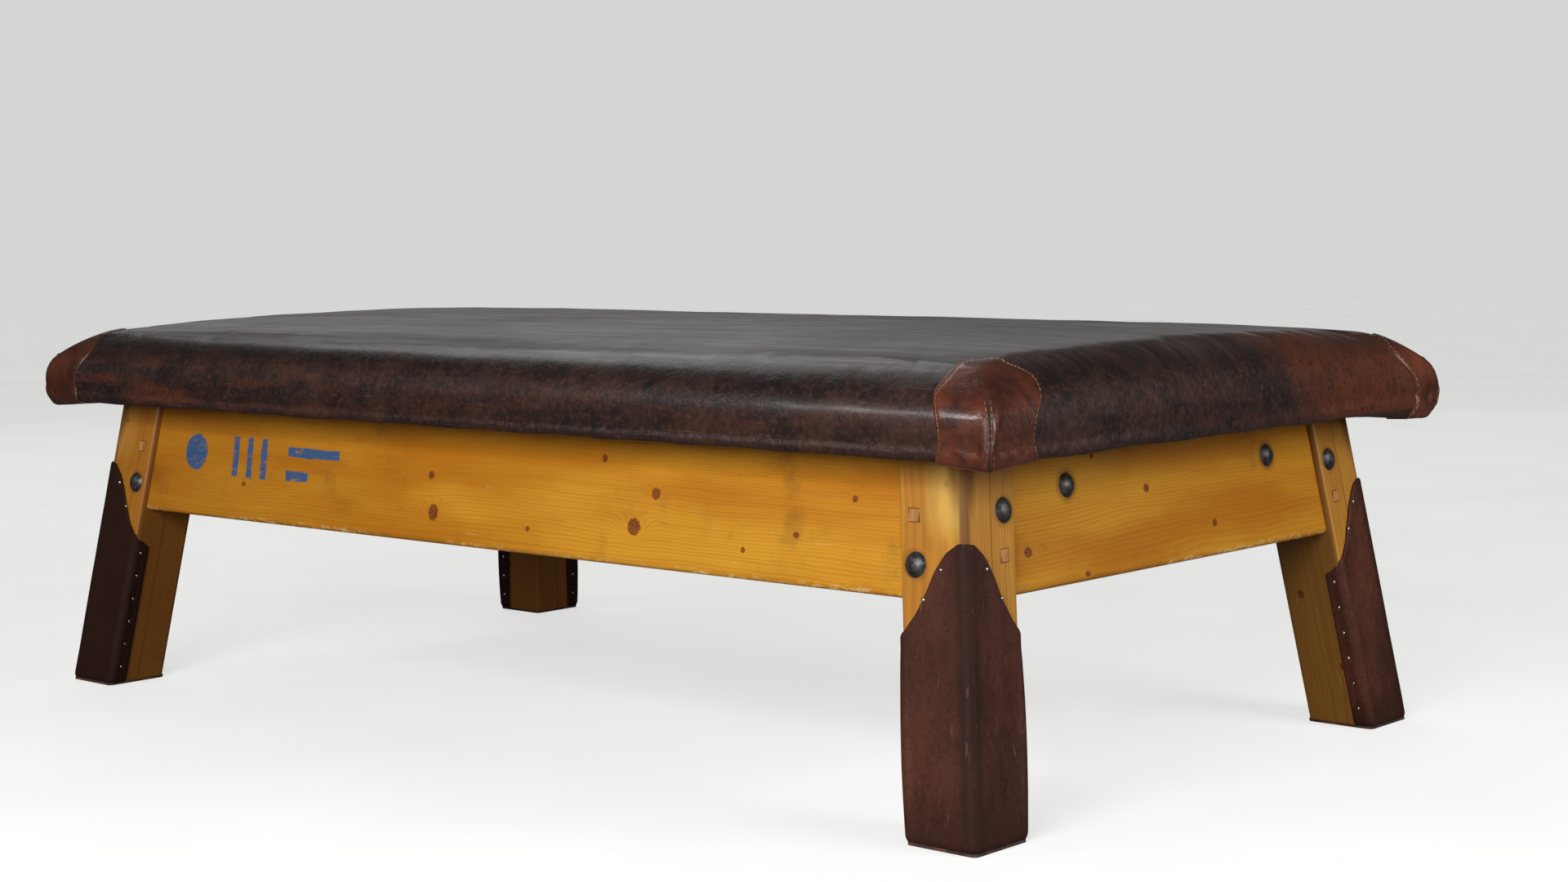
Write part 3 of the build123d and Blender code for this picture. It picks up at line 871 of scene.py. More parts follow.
def cover_leather():
    """Old dark leather: reddish low on the sides, redder at one end, with painted sheen greying the top and
    painted shade over the shoulder and along the hem.
    """
    sh = Shader("cover_leather")
    x, y, z = sh.split(sh.place)
    grain, crease = leather_grain(sh)
    broad = sh.mottle(4.0, 4.0, 0.6)
    mottle = sh.mottle(26.0, 5.0, 0.65)
    fleck = sh.mottle(150.0, 3.0, 0.6)
    dark = sh.blend(sh.ramp(mottle, 0.35, 0.68), COVER_DARK, COVER_BROWN)
    low = sh.fall(z, HEM + 40 * MM, HEM + 82 * MM)
    left = sh.ramp(x, -0.75, 0.35, 1.0, 0.25)
    rubbed = sh.streaks((x, y, z), (9.0, 9.0, 48.0), 5.0, 0.62)
    red = sh.times(low, left, sh.ramp(rubbed, 0.42, 0.66))
    tone = sh.tint(dark, COVER_RED, red, 0.85)
    bare = sh.ramp(sh.less(y, sh.times(sh.less(z, HEM), -0.9)), 0.13, 0.22)
    right = sh.ramp(x, COVER_X - 75 * MM, COVER_X - 25 * MM)
    end = sh.times(bare, right, sh.ramp(mottle, 0.25, 0.6, 0.55, 1.0))
    tone = sh.tint(tone, COVER_END, end, 0.9)
    top = sh.ramp(z, TOP - 34 * MM, TOP - 12 * MM)
    streak = sh.noise(sh.join(sh.times(x, 3.0), sh.times(y, 75.0), 0.0), 1.0, 4.0, 0.65)
    # Painted sheen: the top is greyed in lengthwise streaks, as its grazing reflection would show it; the
    # same mask also makes it rougher.
    top_sheen = sh.times(top, sh.ramp(sh.add(sh.times(streak, 0.55), sh.times(broad, 0.45)), 0.4, 0.62))
    tone = sh.tint(tone, COVER_TOP_SHEEN, top_sheen, 0.55)
    marks = scratches(sh, x, y, z)
    tone = sh.tint(tone, COVER_SCRATCH, marks, sh.ramp(fleck, 0.4, 0.6), 0.35)
    tone = sh.tint(tone, COVER_DARK, sh.one_less(crease), 0.35)
    tone = sh.tint(tone, COVER_FLECK, sh.ramp(fleck, 0.52, 0.66), sh.one_less(top), 0.5)
    tone = sh.tint(tone, COVER_FLECK_AND_SHADE, sh.fall(fleck, 0.34, 0.46), sh.one_less(top), 0.5)
    # Painted shade: a dark band over the shoulder, where the leather shows no reflection, weaker towards
    # the +X end.
    turn = sh.ramp(z, HEM + 55 * MM, HEM + 80 * MM)
    under_top = sh.fall(z, TOP - 26 * MM, TOP - 12 * MM)
    off_end = sh.ramp(x, COVER_X - 45 * MM, COVER_X - 15 * MM, 1.0, 0.4)
    tone = sh.tint(tone, COVER_FLECK_AND_SHADE, turn, under_top, off_end, 0.65)
    # Painted shade along the hem's roll, where it turns in under the boards.
    edge = sh.fall(z, HEM - 1 * MM, HEM + 6 * MM)
    tone = sh.tint(tone, COVER_FLECK_AND_SHADE, edge, 0.7)
    sh.set(base_color=tone, specular_ior_level=0.4, coat_roughness=0.2)
    sh.set(coat_weight=sh.ramp(z, HEM + 12 * MM, HEM + 40 * MM, 0.0, 0.3))
    rough = sh.add(0.27, sh.times(mottle, 0.14), sh.times(top_sheen, 0.26), sh.times(low, left, 0.14))
    sh.set(roughness=sh.add(rough, sh.times(sh.less(streak, 0.5), top, 0.3)))
    dents = sh.mottle(38.0, 3.0, 0.55)
    relief = sh.bump(dents, 1.2 * MM)
    relief = sh.bump(grain, 0.35 * MM, relief)
    sh.set(normal=sh.bump(sh.one_less(marks), 0.12 * MM, relief))
    return sh.material


PATCH_DARK_AND_SHADE = colour(52, 24, 15)
PATCH_RED = colour(104, 48, 27)
PATCH_PALE = colour(128, 66, 40)


def patch_leather():
    """Redder, glossier leather of the corner patches."""
    sh = Shader("patch_leather")
    x, y, z = sh.split(sh.place)
    grain, crease = leather_grain(sh, 500.0, 80.0)
    mottle = sh.mottle(32.0, 5.0, 0.6)
    broad = sh.mottle(11.0, 3.0, 0.5)
    tone = sh.blend(sh.ramp(mottle, 0.3, 0.7), PATCH_DARK_AND_SHADE, PATCH_RED)
    tone = sh.tint(tone, PATCH_PALE, sh.ramp(broad, 0.5, 0.72), 0.6)
    # Painted shade: darker over the top of the patch, where it shows no reflection.
    high = sh.ramp(z, TOP - 52 * MM, TOP - 14 * MM)
    tone = sh.tint(tone, PATCH_DARK_AND_SHADE, high, 0.6)
    # Painted shade: darker towards the -X end, where less light falls.
    tone = sh.tint(tone, PATCH_DARK_AND_SHADE, sh.ramp(x, -0.6, 0.2, 0.45, 0.0))
    marks = scratches(sh, z, x, y, 14.0, 300.0, 0.06)
    tone = sh.tint(tone, PATCH_PALE, marks, 0.4)
    tone = sh.tint(tone, PATCH_DARK_AND_SHADE, sh.one_less(crease), 0.4)
    in_x = sh.less(COVER_X, sh.absolute(x))
    in_y = sh.less(COVER_Y, sh.absolute(y))
    welt = sh.ramp(sh.absolute(sh.less(in_x, in_y)), 2.5 * MM, 6 * MM, 0.75, 0.0)
    welt = sh.times(welt, sh.fall(z, HEM + SEAM_TOP - 4 * MM, HEM + SEAM_TOP + 2 * MM))
    tone = sh.tint(tone, PATCH_DARK_AND_SHADE, welt)
    sh.set(base_color=tone, roughness=sh.add(0.27, sh.times(mottle, 0.14), sh.times(welt, 0.35)))
    shine = sh.ramp(z, HEM + 10 * MM, HEM + 40 * MM, 0.1, 1.0)
    shine = sh.times(sh.ramp(welt, 0.0, 0.75, 0.4, 0.0), shine)
    sh.set(coat_weight=shine, coat_roughness=0.16)
    relief = sh.bump(sh.mottle(55.0, 3.0, 0.5), 1.1 * MM)
    sh.set(normal=sh.bump(grain, 0.25 * MM, relief))
    return sh.material


GUARD_DARK_AND_SHADE = colour(38, 18, 12)
GUARD_BROWN = colour(76, 42, 32)
GUARD_RED = colour(98, 54, 37)
GUARD_PALE = colour(122, 80, 60)


def guard_leather():
    """Thick brown leather of the leg guards, darker in patches at the foot, with painted shade down the
    arris and towards the -X end.
    """
    sh = Shader("guard_leather")
    x, y, z = sh.split(sh.place)
    u, v = leg_depths(sh, x, y, z)
    grain, crease = leather_grain(sh, 380.0, 50.0)
    stretched = sh.stretched((1, 1, 0.45))
    mottle = sh.noise(stretched, 30.0, 5.0, 0.62)
    broad = sh.noise(stretched, 9.0, 3.0, 0.5)
    tone = sh.blend(sh.ramp(mottle, 0.1, 0.72), GUARD_DARK_AND_SHADE, GUARD_BROWN)
    tone = sh.tint(tone, GUARD_RED, sh.ramp(broad, 0.48, 0.7), 0.55)
    # Painted shade down the arris, where the rounded edge shows a dark gap between the lamps' reflections;
    # the mask also roughens it.
    arris_shade = sh.fall(sh.size(sh.less(u, -2 * MM), sh.less(v, -2 * MM)), 5 * MM, 22 * MM)
    foot = sh.times(sh.fall(z, 5 * MM, 60 * MM), sh.ramp(mottle, 0.3, 0.6))
    tone = sh.tint(tone, GUARD_DARK_AND_SHADE, arris_shade, 0.75)
    tone = sh.tint(tone, GUARD_DARK_AND_SHADE, foot, 0.65)
    marks = scratches(sh, z, x, y, 16.0, 240.0, 0.07)
    tone = sh.tint(tone, GUARD_PALE, marks, 0.35)
    tone = sh.tint(tone, GUARD_DARK_AND_SHADE, sh.one_less(crease), 0.4)
    # Painted shade: darker towards the -X end, where less light falls.
    tone = sh.tint(tone, GUARD_DARK_AND_SHADE, sh.ramp(x, -0.6, 0.3, 0.85, 0.0))
    rough = sh.add(0.44, sh.times(mottle, 0.16), sh.times(arris_shade, 0.15), sh.ramp(x, -0.6, 0.3, 0.2, 0.0))
    sh.set(base_color=tone, roughness=rough, specular_ior_level=0.15)
    relief = sh.bump(sh.noise(stretched, 45.0, 4.0, 0.55), 1.4 * MM)
    sh.set(normal=sh.bump(grain, 0.35 * MM, relief))
    return sh.material


def sole_leather():
    sh = Shader("sole_leather")
    mottle = sh.mottle(60.0, 5.0, 0.65)
    tone = sh.blend(sh.ramp(mottle, 0.35, 0.7), colour(38, 24, 18), colour(88, 62, 44))
    layers = sh.noise(sh.stretched((1, 1, 30)), 40.0, 3.0)
    tone = sh.tint(tone, colour(28, 18, 14), sh.ramp(layers, 0.5, 0.7), 0.5)
    sh.set(base_color=tone, roughness=sh.add(0.62, sh.times(mottle, 0.25)))
    relief = sh.bump(sh.mottle(500.0, 3.0, 0.6), 0.4 * MM)
    sh.set(normal=sh.bump(mottle, 0.8 * MM, relief))
    return sh.material


def thread():
    """Waxed linen thread, darkened by handling."""
    sh = Shader("waxed_thread")
    twist = sh.mottle(2200.0, 2.0)
    grime = sh.mottle(40.0, 4.0, 0.6)
    tone = sh.blend(sh.ramp(grime, 0.35, 0.65), colour(104, 74, 50), colour(176, 142, 100))
    tone = sh.tint(tone, colour(70, 46, 32), twist, 0.5)
    # Painted shade: the thread darkens towards the -X end, where less light falls.
    left_shade = sh.ramp(sh.split(sh.place)[0], -0.4, 0.3, 0.85, 0.0)
    tone = sh.tint(tone, colour(38, 24, 19), left_shade)
    sh.set(base_color=tone, roughness=sh.add(0.55, sh.times(grime, 0.2)), coat_weight=0.1)
    sh.set(normal=sh.bump(twist, 0.25 * MM))
    return sh.material


def leg_depths(sh, x, y, z):
    """Depths from a leg's outer X and Y faces, at any leg."""
    lean = sh.times(z, SPLAY)
    u = sh.less(sh.less(FOOT_X, lean), sh.absolute(x))
    v = sh.less(sh.less(FOOT_Y, lean), sh.absolute(y))
    return u, v


def spot(sh, a, b, at, size):
    """Distance from a place on a face, in units of a knot's half sizes."""
    return sh.size(*(sh.times(sh.less(p, q * MM), 1 / (half * MM)) for p, q, half in zip((a, b), at, size)))


PINE_PALE = colour(208, 148, 36)
PINE_MID = colour(180, 112, 14)
PINE_DEEP = colour(156, 86, 12)
KNOT = colour(128, 58, 22)
KNOT_RIM = colour(52, 24, 12)
GRIME_AND_SHADE = colour(92, 58, 24)
BARE = colour(232, 200, 138)
PAINT = colour(30, 84, 132)


def pine(sh, along, across, depth, heart, seed, knots=(), spacing=3.4, contrast=1.0, tones=None):
    """Varnished pine with growth rings round a heart, fibres and knots.

    along, across and depth are distances in the board; heart is where the rings' middle lies in
    (across, depth), in mm; a knot is (along, across, half length, half height) in mm.
    Returns the colour and maps of the late wood and of the fibres.
    """
    pale, mid, deep = tones or (PINE_PALE, PINE_MID, PINE_DEEP)
    swirl, core = 0.0, 0.0
    deeper = sh.add(sh.times(depth, 9.0), seed)
    warp = sh.streaks((along, across, deeper), (2.2, 9.0, 1.0), 3.0)
    for a, b, long, high in knots:
        d = spot(sh, along, across, (a, b), (long, high))
        wide = spot(sh, along, across, (a, b), (4.2 * long, 2.3 * high))
        swirl = sh.add(swirl, sh.ramp(wide, 0.0, 1.0, 1.1 * high, 0.0))
        ragged = sh.add(d, sh.times(sh.less(sh.mottle(260.0, 3.0), 0.5), 0.7))
        core = sh.larger(core, sh.fall(ragged, 0.55, 1.25))
    drift = sh.times(sh.less(warp, 0.5), 22.0)
    a = sh.less(sh.times(across, 1 / MM), heart[0])
    b = sh.less(sh.times(depth, 1 / MM), heart[1])
    board = along, across, depth
    fine = sh.streaks(board, (6.0, 60.0, 60.0))
    radius = sh.add(sh.size(a, b), drift, sh.times(fine, 2.4), swirl)
    phase = sh.math("FRACT", sh.times(radius, 1 / spacing))
    late = sh.times(sh.ramp(phase, 0.15, 0.86), sh.fall(phase, 0.90, 1.0))
    year = sh.noise(sh.join(sh.times(radius, 0.23), seed, 0.0), 1.0, 2.0)
    fibre = sh.streaks(board, (14.0, 900.0, 900.0), 3.0, 0.6)
    deeper = sh.add(sh.times(depth, 6.0), seed)
    broad = sh.streaks((along, across, deeper), (3.0, 14.0, 1.0), 4.0, 0.55)
    tone = sh.blend(sh.ramp(broad, 0.3, 0.7), pale, mid)
    strength = sh.times(late, sh.ramp(year, 0.3, 0.7, 0.25, 1.0), 0.55 * contrast)
    tone = sh.tint(tone, deep, strength)
    tone = sh.tint(tone, deep, sh.ramp(fibre, 0.5, 0.75), 0.22)
    if knots:
        rim = sh.times(sh.ramp(core, 0.05, 0.5), sh.ramp(core, 0.5, 0.95, 1.0, 0.35))
        tone = sh.tint(tone, KNOT, sh.ramp(core, 0.0, 0.6), 0.85)
        tone = sh.tint(tone, KNOT_RIM, rim, 0.35)
        crack = sh.times(sh.ramp(core, 0.7, 1.0), sh.ramp(sh.mottle(420.0, 2.0), 0.55, 0.62))
        tone = sh.tint(tone, KNOT_RIM, crack, 0.8)
    return tone, late, fibre


def varnish(sh, tone, late, fibre, wear, rough=0.36, dull=0.0):
    """Finishes a pine shader: satin varnish over faint grain relief, dents and wear."""
    dents = sh.mottle(34.0, 3.0, 0.5)
    rough = sh.add(rough, sh.times(dents, 0.10), sh.times(wear, 0.25), sh.times(dull, 0.3))
    sh.set(base_color=tone, roughness=rough, specular_ior_level=0.35, coat_roughness=0.28)
    sh.set(coat_weight=sh.ramp(sh.add(wear, dull), 0.0, 1.0, 0.14, 0.0))
    relief = sh.bump(dents, 0.8 * MM)
    relief = sh.bump(sh.times(late, 0.6), 0.12 * MM, relief)
    sh.set(normal=sh.bump(fibre, 0.10 * MM, relief))
    return sh.material


def handled(sh, tone, along, across, depth, foot=None, top=None):
    """Adds what years of use leave on varnished timber: grime, scuffs, scratches and bare arrises, and with
    top given, painted shade mixed with dirt below the top edge, under the cover's overhang.
    """
    dirt = sh.mottle(16.0, 5.0, 0.65)
    tone = sh.tint(tone, GRIME_AND_SHADE, sh.ramp(dirt, 0.55, 0.78), 0.4)
    # Painted shade, with some dirt, in a band below the top edge where the cover overhangs.
    if top is not None:
        shade = sh.ramp(sh.add(across, sh.times(sh.less(dirt, 0.5), 20 * MM)), top - 45 * MM, top, 0.0, 1.0)
        tone = sh.tint(tone, GRIME_AND_SHADE, shade, 0.35)
    scuff = scratches(sh, along, across, depth, 11.0, 170.0, 0.02)
    wear = sh.times(scuff, sh.ramp(sh.mottle(9.0, 3.0), 0.5, 0.62))
    if foot is not None:
        chip = sh.noise(sh.stretched((1, 1, 2.2)), 85.0, 4.0, 0.65)
        near = sh.fall(sh.less(across, foot), 1.0 * MM, 9 * MM)
        patchy = sh.ramp(sh.mottle(5.0, 2.0), 0.42, 0.6)
        wear = sh.larger(wear, sh.times(near, patchy, sh.ramp(chip, 0.50, 0.57)))
    speck = sh.ramp(sh.mottle(210.0, 2.0), 0.73, 0.78)
    tone = sh.tint(tone, BARE, wear, 0.75)
    return sh.tint(tone, GRIME_AND_SHADE, speck, 0.5), wear


FRONT_KNOTS = [
    (-76, 299, 5, 4.5), (-68, 258, 8, 9), (198, 333, 4, 4), (277, 301, 6, 6), (249, 265, 9, 9),
    (473, 273, 4, 3), (544, 313, 3.5, 3.5), (88, 251, 3, 3), (404, 253, 3, 3), (-420, 268, 4, 3),
]
END_KNOTS = [(-51, 305, 5, 4), (-264, 262, 6, 5), (-170, 231, 4, 3), (70, 258, 4, 4), (-141, 345, 3.5, 3)]
TOP_BOLTS = ((-189, 320), (189, 320))


def long_rail_pine():
    """The front and back rails, with a worn patch of blue storeroom paint on the front."""
    sh = Shader("pine_rails_long")
    x, y, z = sh.split(sh.place)
    face = sh.add(sh.absolute(y), sh.times(z, SPLAY), -FOOT_Y)
    front = sh.ramp(y, -0.1, 0.1, 1.0, -1.0)
    along = sh.times(x, front)
    tone, late, fibre = pine(sh, along, z, face, (150, 110), 3.0, FRONT_KNOTS, 2.6, 0.7)
    # Painted shade: darker towards the -X end, where less light falls.
    tone = sh.tint(tone, PINE_DEEP, sh.ramp(x, -0.7, 0.1, 0.45, 0.0))
    tone, wear = handled(sh, tone, x, z, face, RAIL_FOOT, FRAME_TOP)
    paint = front_paint(sh, x, z)
    paint = sh.times(paint, sh.fall(y, -0.3, -0.2))
    tone = sh.tint(tone, PAINT, paint)
    return varnish(sh, tone, late, fibre, sh.add(wear, sh.times(paint, 0.5)))


def front_paint(sh, x, z):
    """Worn brush marks: a disc, three upright stripes and a bar over a short bar."""
    wobble = sh.times(sh.less(sh.mottle(45.0, 3.0), 0.5), 5 * MM)
    from_disc = sh.add(sh.size(sh.less(x, -0.520), sh.less(z, 0.302)), wobble)
    marks = sh.fall(from_disc, 0.021, 0.023)
    boxes = [(middle, 0.300, 0.0055, 0.024) for middle in (-0.440, -0.412, -0.384)]
    boxes += [(-0.290, 0.311, 0.048, 0.0055), (-0.318, 0.283, 0.021, 0.0055)]
    for cx, cz, half_x, half_z in boxes:
        gap_x = sh.less(sh.absolute(sh.less(x, cx)), half_x)
        gap_z = sh.less(sh.absolute(sh.less(z, cz)), half_z)
        gap = sh.add(sh.larger(gap_x, gap_z), wobble)
        marks = sh.larger(marks, sh.fall(gap, -0.0008, 0.0012))
    brush = sh.noise(sh.join(sh.times(x, 60.0), sh.times(z, 420.0), 0.0), 1.0, 4.0, 0.6)
    rubbed = sh.mottle(75.0, 4.0, 0.65)
    cover = sh.ramp(sh.add(sh.times(brush, 0.45), sh.times(rubbed, 0.55)), 0.50, 0.66, 0.94, 0.25)
    return sh.times(marks, cover)


def end_rail_pine():
    sh = Shader("pine_rails_end")
    x, y, z = sh.split(sh.place)
    face = sh.add(sh.absolute(x), sh.times(z, SPLAY), -FOOT_X)
    tone, late, fibre = pine(sh, y, z, face, (180, 120), 11.0, END_KNOTS, 2.8, 0.7)
    tone, wear = handled(sh, tone, y, z, face, RAIL_FOOT, FRAME_TOP)
    tone = halo(sh, tone, y, z, TOP_BOLTS)
    return varnish(sh, tone, late, fibre, wear)


def halo(sh, tone, a, b, places):
    """Darker timber in a ring round bolt heads."""
    for place in places:
        gap = sh.size(sh.less(a, place[0] * MM), sh.less(b, place[1] * MM))
        tone = sh.tint(tone, GRIME_AND_SHADE, sh.ramp(gap, 11 * MM, 21 * MM, 0.6, 0.0))
    return tone


PINE_BARE = colour(220, 186, 96)
LEG_INNER_SHADE = colour(76, 42, 12)
ARRIS_SHADE_BROWN = colour(98, 56, 18)
LEG_TONES = (colour(192, 136, 50), colour(176, 114, 34), colour(132, 78, 22))


def leg_pine():
    """Legs: grain up the leg, two glued boards, dark lines round the pegs and round the bolts."""
    sh = Shader("pine_legs")
    x, y, z = sh.split(sh.place)
    u, v = leg_depths(sh, x, y, z)
    which = sh.add(sh.ramp(x, -0.1, 0.1, 0.0, 3.0), sh.ramp(y, -0.1, 0.1, 0.0, 7.0))
    board = sh.ramp(v, 39.9 * MM, 40.1 * MM, 0.0, 1.0)
    seed = sh.add(which, sh.times(board, 13.0))
    knots = [(335, 20, 3.5, 3), (150, 58, 5, 4), (70, 22, 4, 3)]
    across = sh.add(u, v)
    depth = sh.less(v, sh.times(board, 20 * MM))
    tone, late, fibre = pine(sh, z, u, depth, (34, 78), seed, knots, 3.6, 0.9, LEG_TONES)
    tone, wear = handled(sh, tone, z, across, sh.less(u, v))
    # Painted shade: darker towards the -X end, where less light falls.
    tone = sh.tint(tone, PINE_DEEP, sh.ramp(x, -0.6, 0.1, 0.4, 0.0))
    side, end = sh.fall(v, 4 * MM, 8 * MM), sh.fall(u, 4 * MM, 8 * MM)
    rubbed = sh.times(sh.ramp(z, 275 * MM, 310 * MM), sh.ramp(u, 60 * MM, 20 * MM), side)
    tone = sh.tint(tone, PINE_BARE, rubbed, sh.ramp(x, -0.4, 0.4, 0.15, 0.45))
    # Painted shade with some dirt at the top of the legs, under the cover's overhang.
    top = sh.ramp(z, FRAME_TOP - 50 * MM, FRAME_TOP, 0.0, 0.35)
    tone = sh.tint(tone, GRIME_AND_SHADE, top)
    # Painted shade: the inner faces are darkened, as under the table little light reaches them.
    inner = sh.ramp(sh.larger(u, v), LEG - 2.5 * MM, LEG - 1.0 * MM, 0.0, 0.6)
    tone = sh.tint(tone, LEG_INNER_SHADE, inner)
    # Painted shade down the rounded arris, where the lamps leave a dark gap in its reflection, and a darker
    # patch at the arris's top by the cover's corner.
    arris_shade = sh.ramp(sh.size(u, v), 4 * MM, 10 * MM, 0.9, 0.0)
    from_corner = sh.size(sh.times(across, 1 / (22 * MM)), sh.times(sh.less(z, FRAME_TOP), 1 / (75 * MM)))
    arris_top_dark = sh.ramp(from_corner, 0.55, 1.1, 0.7, 0.0)
    tone = sh.tint(tone, ARRIS_SHADE_BROWN, sh.larger(arris_shade, arris_top_dark))
    seam = sh.absolute(sh.less(v, 40 * MM))
    on_seam = sh.fall(seam, 0.25 * MM, 0.8 * MM)
    tone = sh.tint(tone, KNOT_RIM, on_seam, 0.75)
    for face, a, peg, bolt in ((side, u, (60, 304), (60, 258)), (end, v, (60, 265), (60, 307))):
        gap_a = sh.absolute(sh.less(a, peg[0] * MM))
        gap_z = sh.absolute(sh.less(z, peg[1] * MM))
        ring = sh.ramp(sh.larger(gap_a, gap_z), 6.3 * MM, 7.2 * MM, 0.9, 0.0)
        tone = sh.tint(tone, KNOT_RIM, ring, face)
        gap = sh.size(sh.less(a, bolt[0] * MM), sh.less(z, bolt[1] * MM))
        tone = sh.tint(tone, GRIME_AND_SHADE, sh.ramp(gap, 11.5 * MM, 18 * MM, 0.45, 0.0), face)
    return varnish(sh, tone, late, fibre, wear, dull=sh.fall(sh.size(u, v), 6 * MM, 12 * MM))


def board_pine():
    """Bare boards under the padding."""
    sh = Shader("pine_boards")
    x, y, z = sh.split(sh.place)
    pitch = 2 * (COVER_Y - LEATHER - 1 * MM) / 6
    index = sh.math("FLOOR", sh.times(y, 1 / pitch))
    local = sh.less(y, sh.times(sh.add(index, 0.5), pitch))
    seed = sh.times(index, 5.3)
    tones = (colour(206, 164, 104), colour(186, 140, 84), colour(136, 92, 50))
    tone, late, fibre = pine(sh, x, local, z, (8, 330), seed, (), 4.5, 1.0, tones)
    tone, wear = handled(sh, tone, x, local, z)
    return varnish(sh, tone, late, fibre, wear, 0.55)


def batten_pine():
    sh = Shader("pine_battens")
    x, y, z = sh.split(sh.place)
    tones = (colour(204, 156, 88), colour(184, 132, 68), colour(132, 86, 40))
    tone, late, fibre = pine(sh, y, x, z, (20, 250), sh.times(x, 4.0), (), 4.0, 1.0, tones)
    tone, wear = handled(sh, tone, y, x, z)
    return varnish(sh, tone, late, fibre, wear, 0.5)


def peg_wood():
    """Hardwood pegs: dark end grain with pores and a ray or two."""
    sh = Shader("peg_wood")
    pores = sh.cells(900.0)
    rays = sh.noise(sh.stretched((140, 140, 60)), 1.0, 4.0)
    tone = sh.blend(sh.ramp(rays, 0.35, 0.65), colour(150, 98, 48), colour(190, 132, 66))
    tone = sh.tint(tone, KNOT_RIM, sh.ramp(pores, 0.0, 0.35, 0.35, 0.0))
    sh.set(base_color=tone, roughness=sh.add(0.45, sh.times(rays, 0.2)), coat_weight=0.1)
    sh.set(normal=sh.bump(pores, 0.2 * MM))
    return sh.material


RUST = colour(96, 52, 26)


def steel(name, dark, light, metallic, rough, rust=0.0):
    """Old steel with uneven tone, fine pitting and some rust."""
    sh = Shader(name)
    patchy = sh.mottle(130.0, 5.0, 0.65)
    pits = sh.mottle(1400.0, 3.0, 0.6)
    spots = sh.times(sh.ramp(sh.mottle(260.0, 4.0, 0.7), 0.55, 0.68), rust)
    tone = sh.blend(sh.ramp(patchy, 0.35, 0.68), dark, light)
    tone = sh.tint(tone, RUST, spots)
    sh.set(base_color=tone, metallic=sh.less(metallic, sh.times(spots, 0.7)))
    sh.set(roughness=sh.add(rough, sh.times(patchy, 0.14), sh.times(spots, 0.3)))
    relief = sh.bump(patchy, 0.25 * MM)
    sh.set(normal=sh.bump(pits, 0.06 * MM, relief))
    return sh.material


FLOOR_PALE, FLOOR_DIM = (0.45, 0.45, 0.447), (0.41, 0.41, 0.407)
FLOOR_BOUNCE, FLOOR_GLOW = (0.20, 0.20, 0.20), 1.5
BACKDROP, AMBIENT = 0.667, 0.05


def floor_paper():
    """Pale paper. It throws back less light than it shows, so that the underside stays dark."""
    sh = Shader("studio_floor")
    tooth = sh.mottle(3.0, 4.0, 0.5)
    seen = sh.tree.nodes.new("ShaderNodeLightPath").outputs["Is Camera Ray"]
    pale = sh.blend(tooth, FLOOR_DIM, FLOOR_PALE)
    sh.set(base_color=sh.blend(seen, FLOOR_BOUNCE, pale), roughness=0.85, specular_ior_level=0.1)
    sh.set(emission_color=pale, emission_strength=sh.times(seen, FLOOR_GLOW))
    return sh.material


# ---------------------------------------------------------------- the looks put together

skin = stitched_top(cover_leather())
patch_skin, waxed_thread, guard_skin = patch_leather(), thread(), guard_leather()
for number, corner in enumerate(CORNERS):
    corner_patch(corner, patch_skin, skin)
    patch_thread(corner, waxed_thread, skin)
    leg_guard(corner, guard_skin, number + 1.0)


def dress(material, *starts):
    """Gives a material to the CAD nodes whose names start so."""
    for name, node in nodes.items():
        if name.startswith(starts):
            node.data.materials.clear()
            node.data.materials.append(material)


dress(long_rail_pine(), "rail_front", "rail_back")
dress(end_rail_pine(), "rail_left", "rail_right")
dress(leg_pine(), "leg_front", "leg_back")
dress(board_pine(), "top_plank")
dress(batten_pine(), "end_batten", "mid_batten")
dress(peg_wood(), "joint_pegs")
blackened = steel("blackened_steel", colour(50, 51, 52), colour(96, 94, 90), 0.75, 0.34, 0.2)
dress(blackened, "leg_bolts", "leg_washers", "leg_nuts", "top_bolts", "top_washers", "top_nuts")
dress(steel("screw_steel", colour(92, 88, 82), colour(140, 134, 124), 0.9, 0.38, 0.6), "batten_screws")
dress(steel("bright_tacks", colour(150, 146, 138), colour(205, 200, 190), 1.0, 0.24, 0.15), "guard_tacks")
dress(steel("blued_tacks", colour(46, 48, 56), colour(86, 88, 98), 0.9, 0.32, 0.5), "cover_tacks")
dress(sole_leather(), "foot_sole")

# ---------------------------------------------------------------- floor, light and camera


def area_light(name, direction, distance, aim, size, power):
    """A soft rectangular light that faces a point."""
    light = bpy.data.lights.new(name, "AREA")
    light.shape = "RECTANGLE"
    light.size, light.size_y = size
    light.energy = power
    holder = bpy.data.objects.new(name, light)
    direction = Vector(direction).normalized()
    holder.location = Vector(aim) + distance * direction
    holder.rotation_euler = direction.to_track_quat("Z", "Y").to_euler()
    bpy.context.scene.collection.objects.link(holder)


FLOOR_HALF = 30.0
floor_corners = [(sx * FLOOR_HALF, sy * FLOOR_HALF, 0) for sx, sy in ((-1, -1), (1, -1), (1, 1), (-1, 1))]
floor = mesh_object("studio_floor", floor_corners, [(0, 1, 2, 3)], floor_paper(), smooth=False)


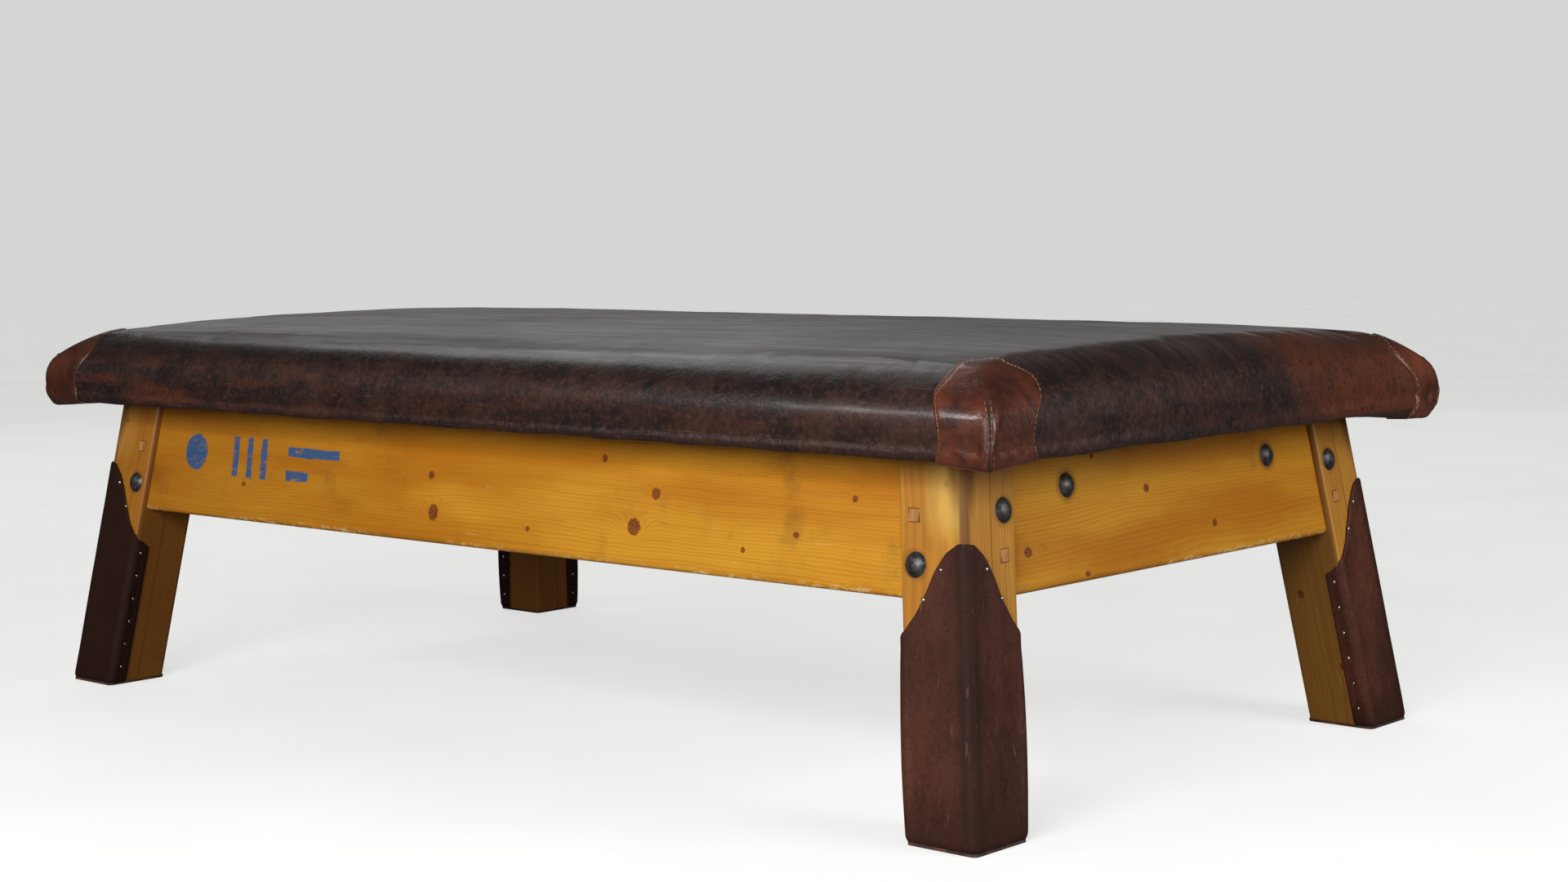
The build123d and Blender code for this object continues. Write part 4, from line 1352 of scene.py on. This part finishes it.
def toward(azimuth, elevation):
    """A direction by its angles: azimuth 0 is -Y and 90 is +X."""
    a, e = math.radians(azimuth), math.radians(elevation)
    return math.sin(a) * math.cos(e), -math.cos(a) * math.cos(e), math.sin(e)


area_light("key_softbox", toward(13, 18), 3.0, (0.5, 0, 0.3), (1.75, 1.35), 84)
area_light("left_lamp", toward(-41, 25), 4.0, (0.55, -0.42, 0.41), (0.35, 0.35), 12)
area_light("side_softbox", toward(98, 21), 2.6, (0.5, 0, 0.3), (1.5, 1.4), 40)
area_light("back_fill", toward(240, 42), 4.2, (0, 0, 0.3), (2.6, 2.0), 22)
area_light("backdrop_softbox", toward(221, 11), 4.5, (0, 0, 0.45), (5.0, 0.9), 6.5)

world = bpy.data.worlds.new("studio")
world.use_nodes = True
background = world.node_tree.nodes["Background"]
background.inputs["Color"].default_value = (1, 1, 1, 1)
seen = world.node_tree.nodes.new("ShaderNodeLightPath").outputs["Is Camera Ray"]
strength = world.node_tree.nodes.new("ShaderNodeMapRange")
world.node_tree.links.new(seen, strength.inputs["Value"])
strength.inputs["To Min"].default_value, strength.inputs["To Max"].default_value = AMBIENT, BACKDROP
world.node_tree.links.new(strength.outputs[0], background.inputs["Strength"])
bpy.context.scene.world = world

CAMERA_PLACE, CAMERA_TARGET = Vector((2.09888, -2.21995, 0.58545)), Vector((0.13728, 0, 0.32216))
CAMERA_ROLL = math.radians(-0.603)
LENS_MM, SENSOR_MM = 58.0, 36.0
back = (CAMERA_PLACE - CAMERA_TARGET).normalized()
level = Vector((-back.y, back.x, 0)).normalized()
upright = back.cross(level)
right = level * math.cos(CAMERA_ROLL) + upright * math.sin(CAMERA_ROLL)
above = upright * math.cos(CAMERA_ROLL) - level * math.sin(CAMERA_ROLL)
lens = bpy.data.cameras.new("photo_camera")
lens.lens, lens.sensor_width = LENS_MM, SENSOR_MM
camera = bpy.data.objects.new("photo_camera", lens)
axes = zip(right, above, back, CAMERA_PLACE)
camera.matrix_world = Matrix([list(row) for row in axes] + [[0, 0, 0, 1]])
bpy.context.scene.collection.objects.link(camera)
bpy.context.scene.camera = camera
bpy.context.scene.view_settings.view_transform = "Standard"
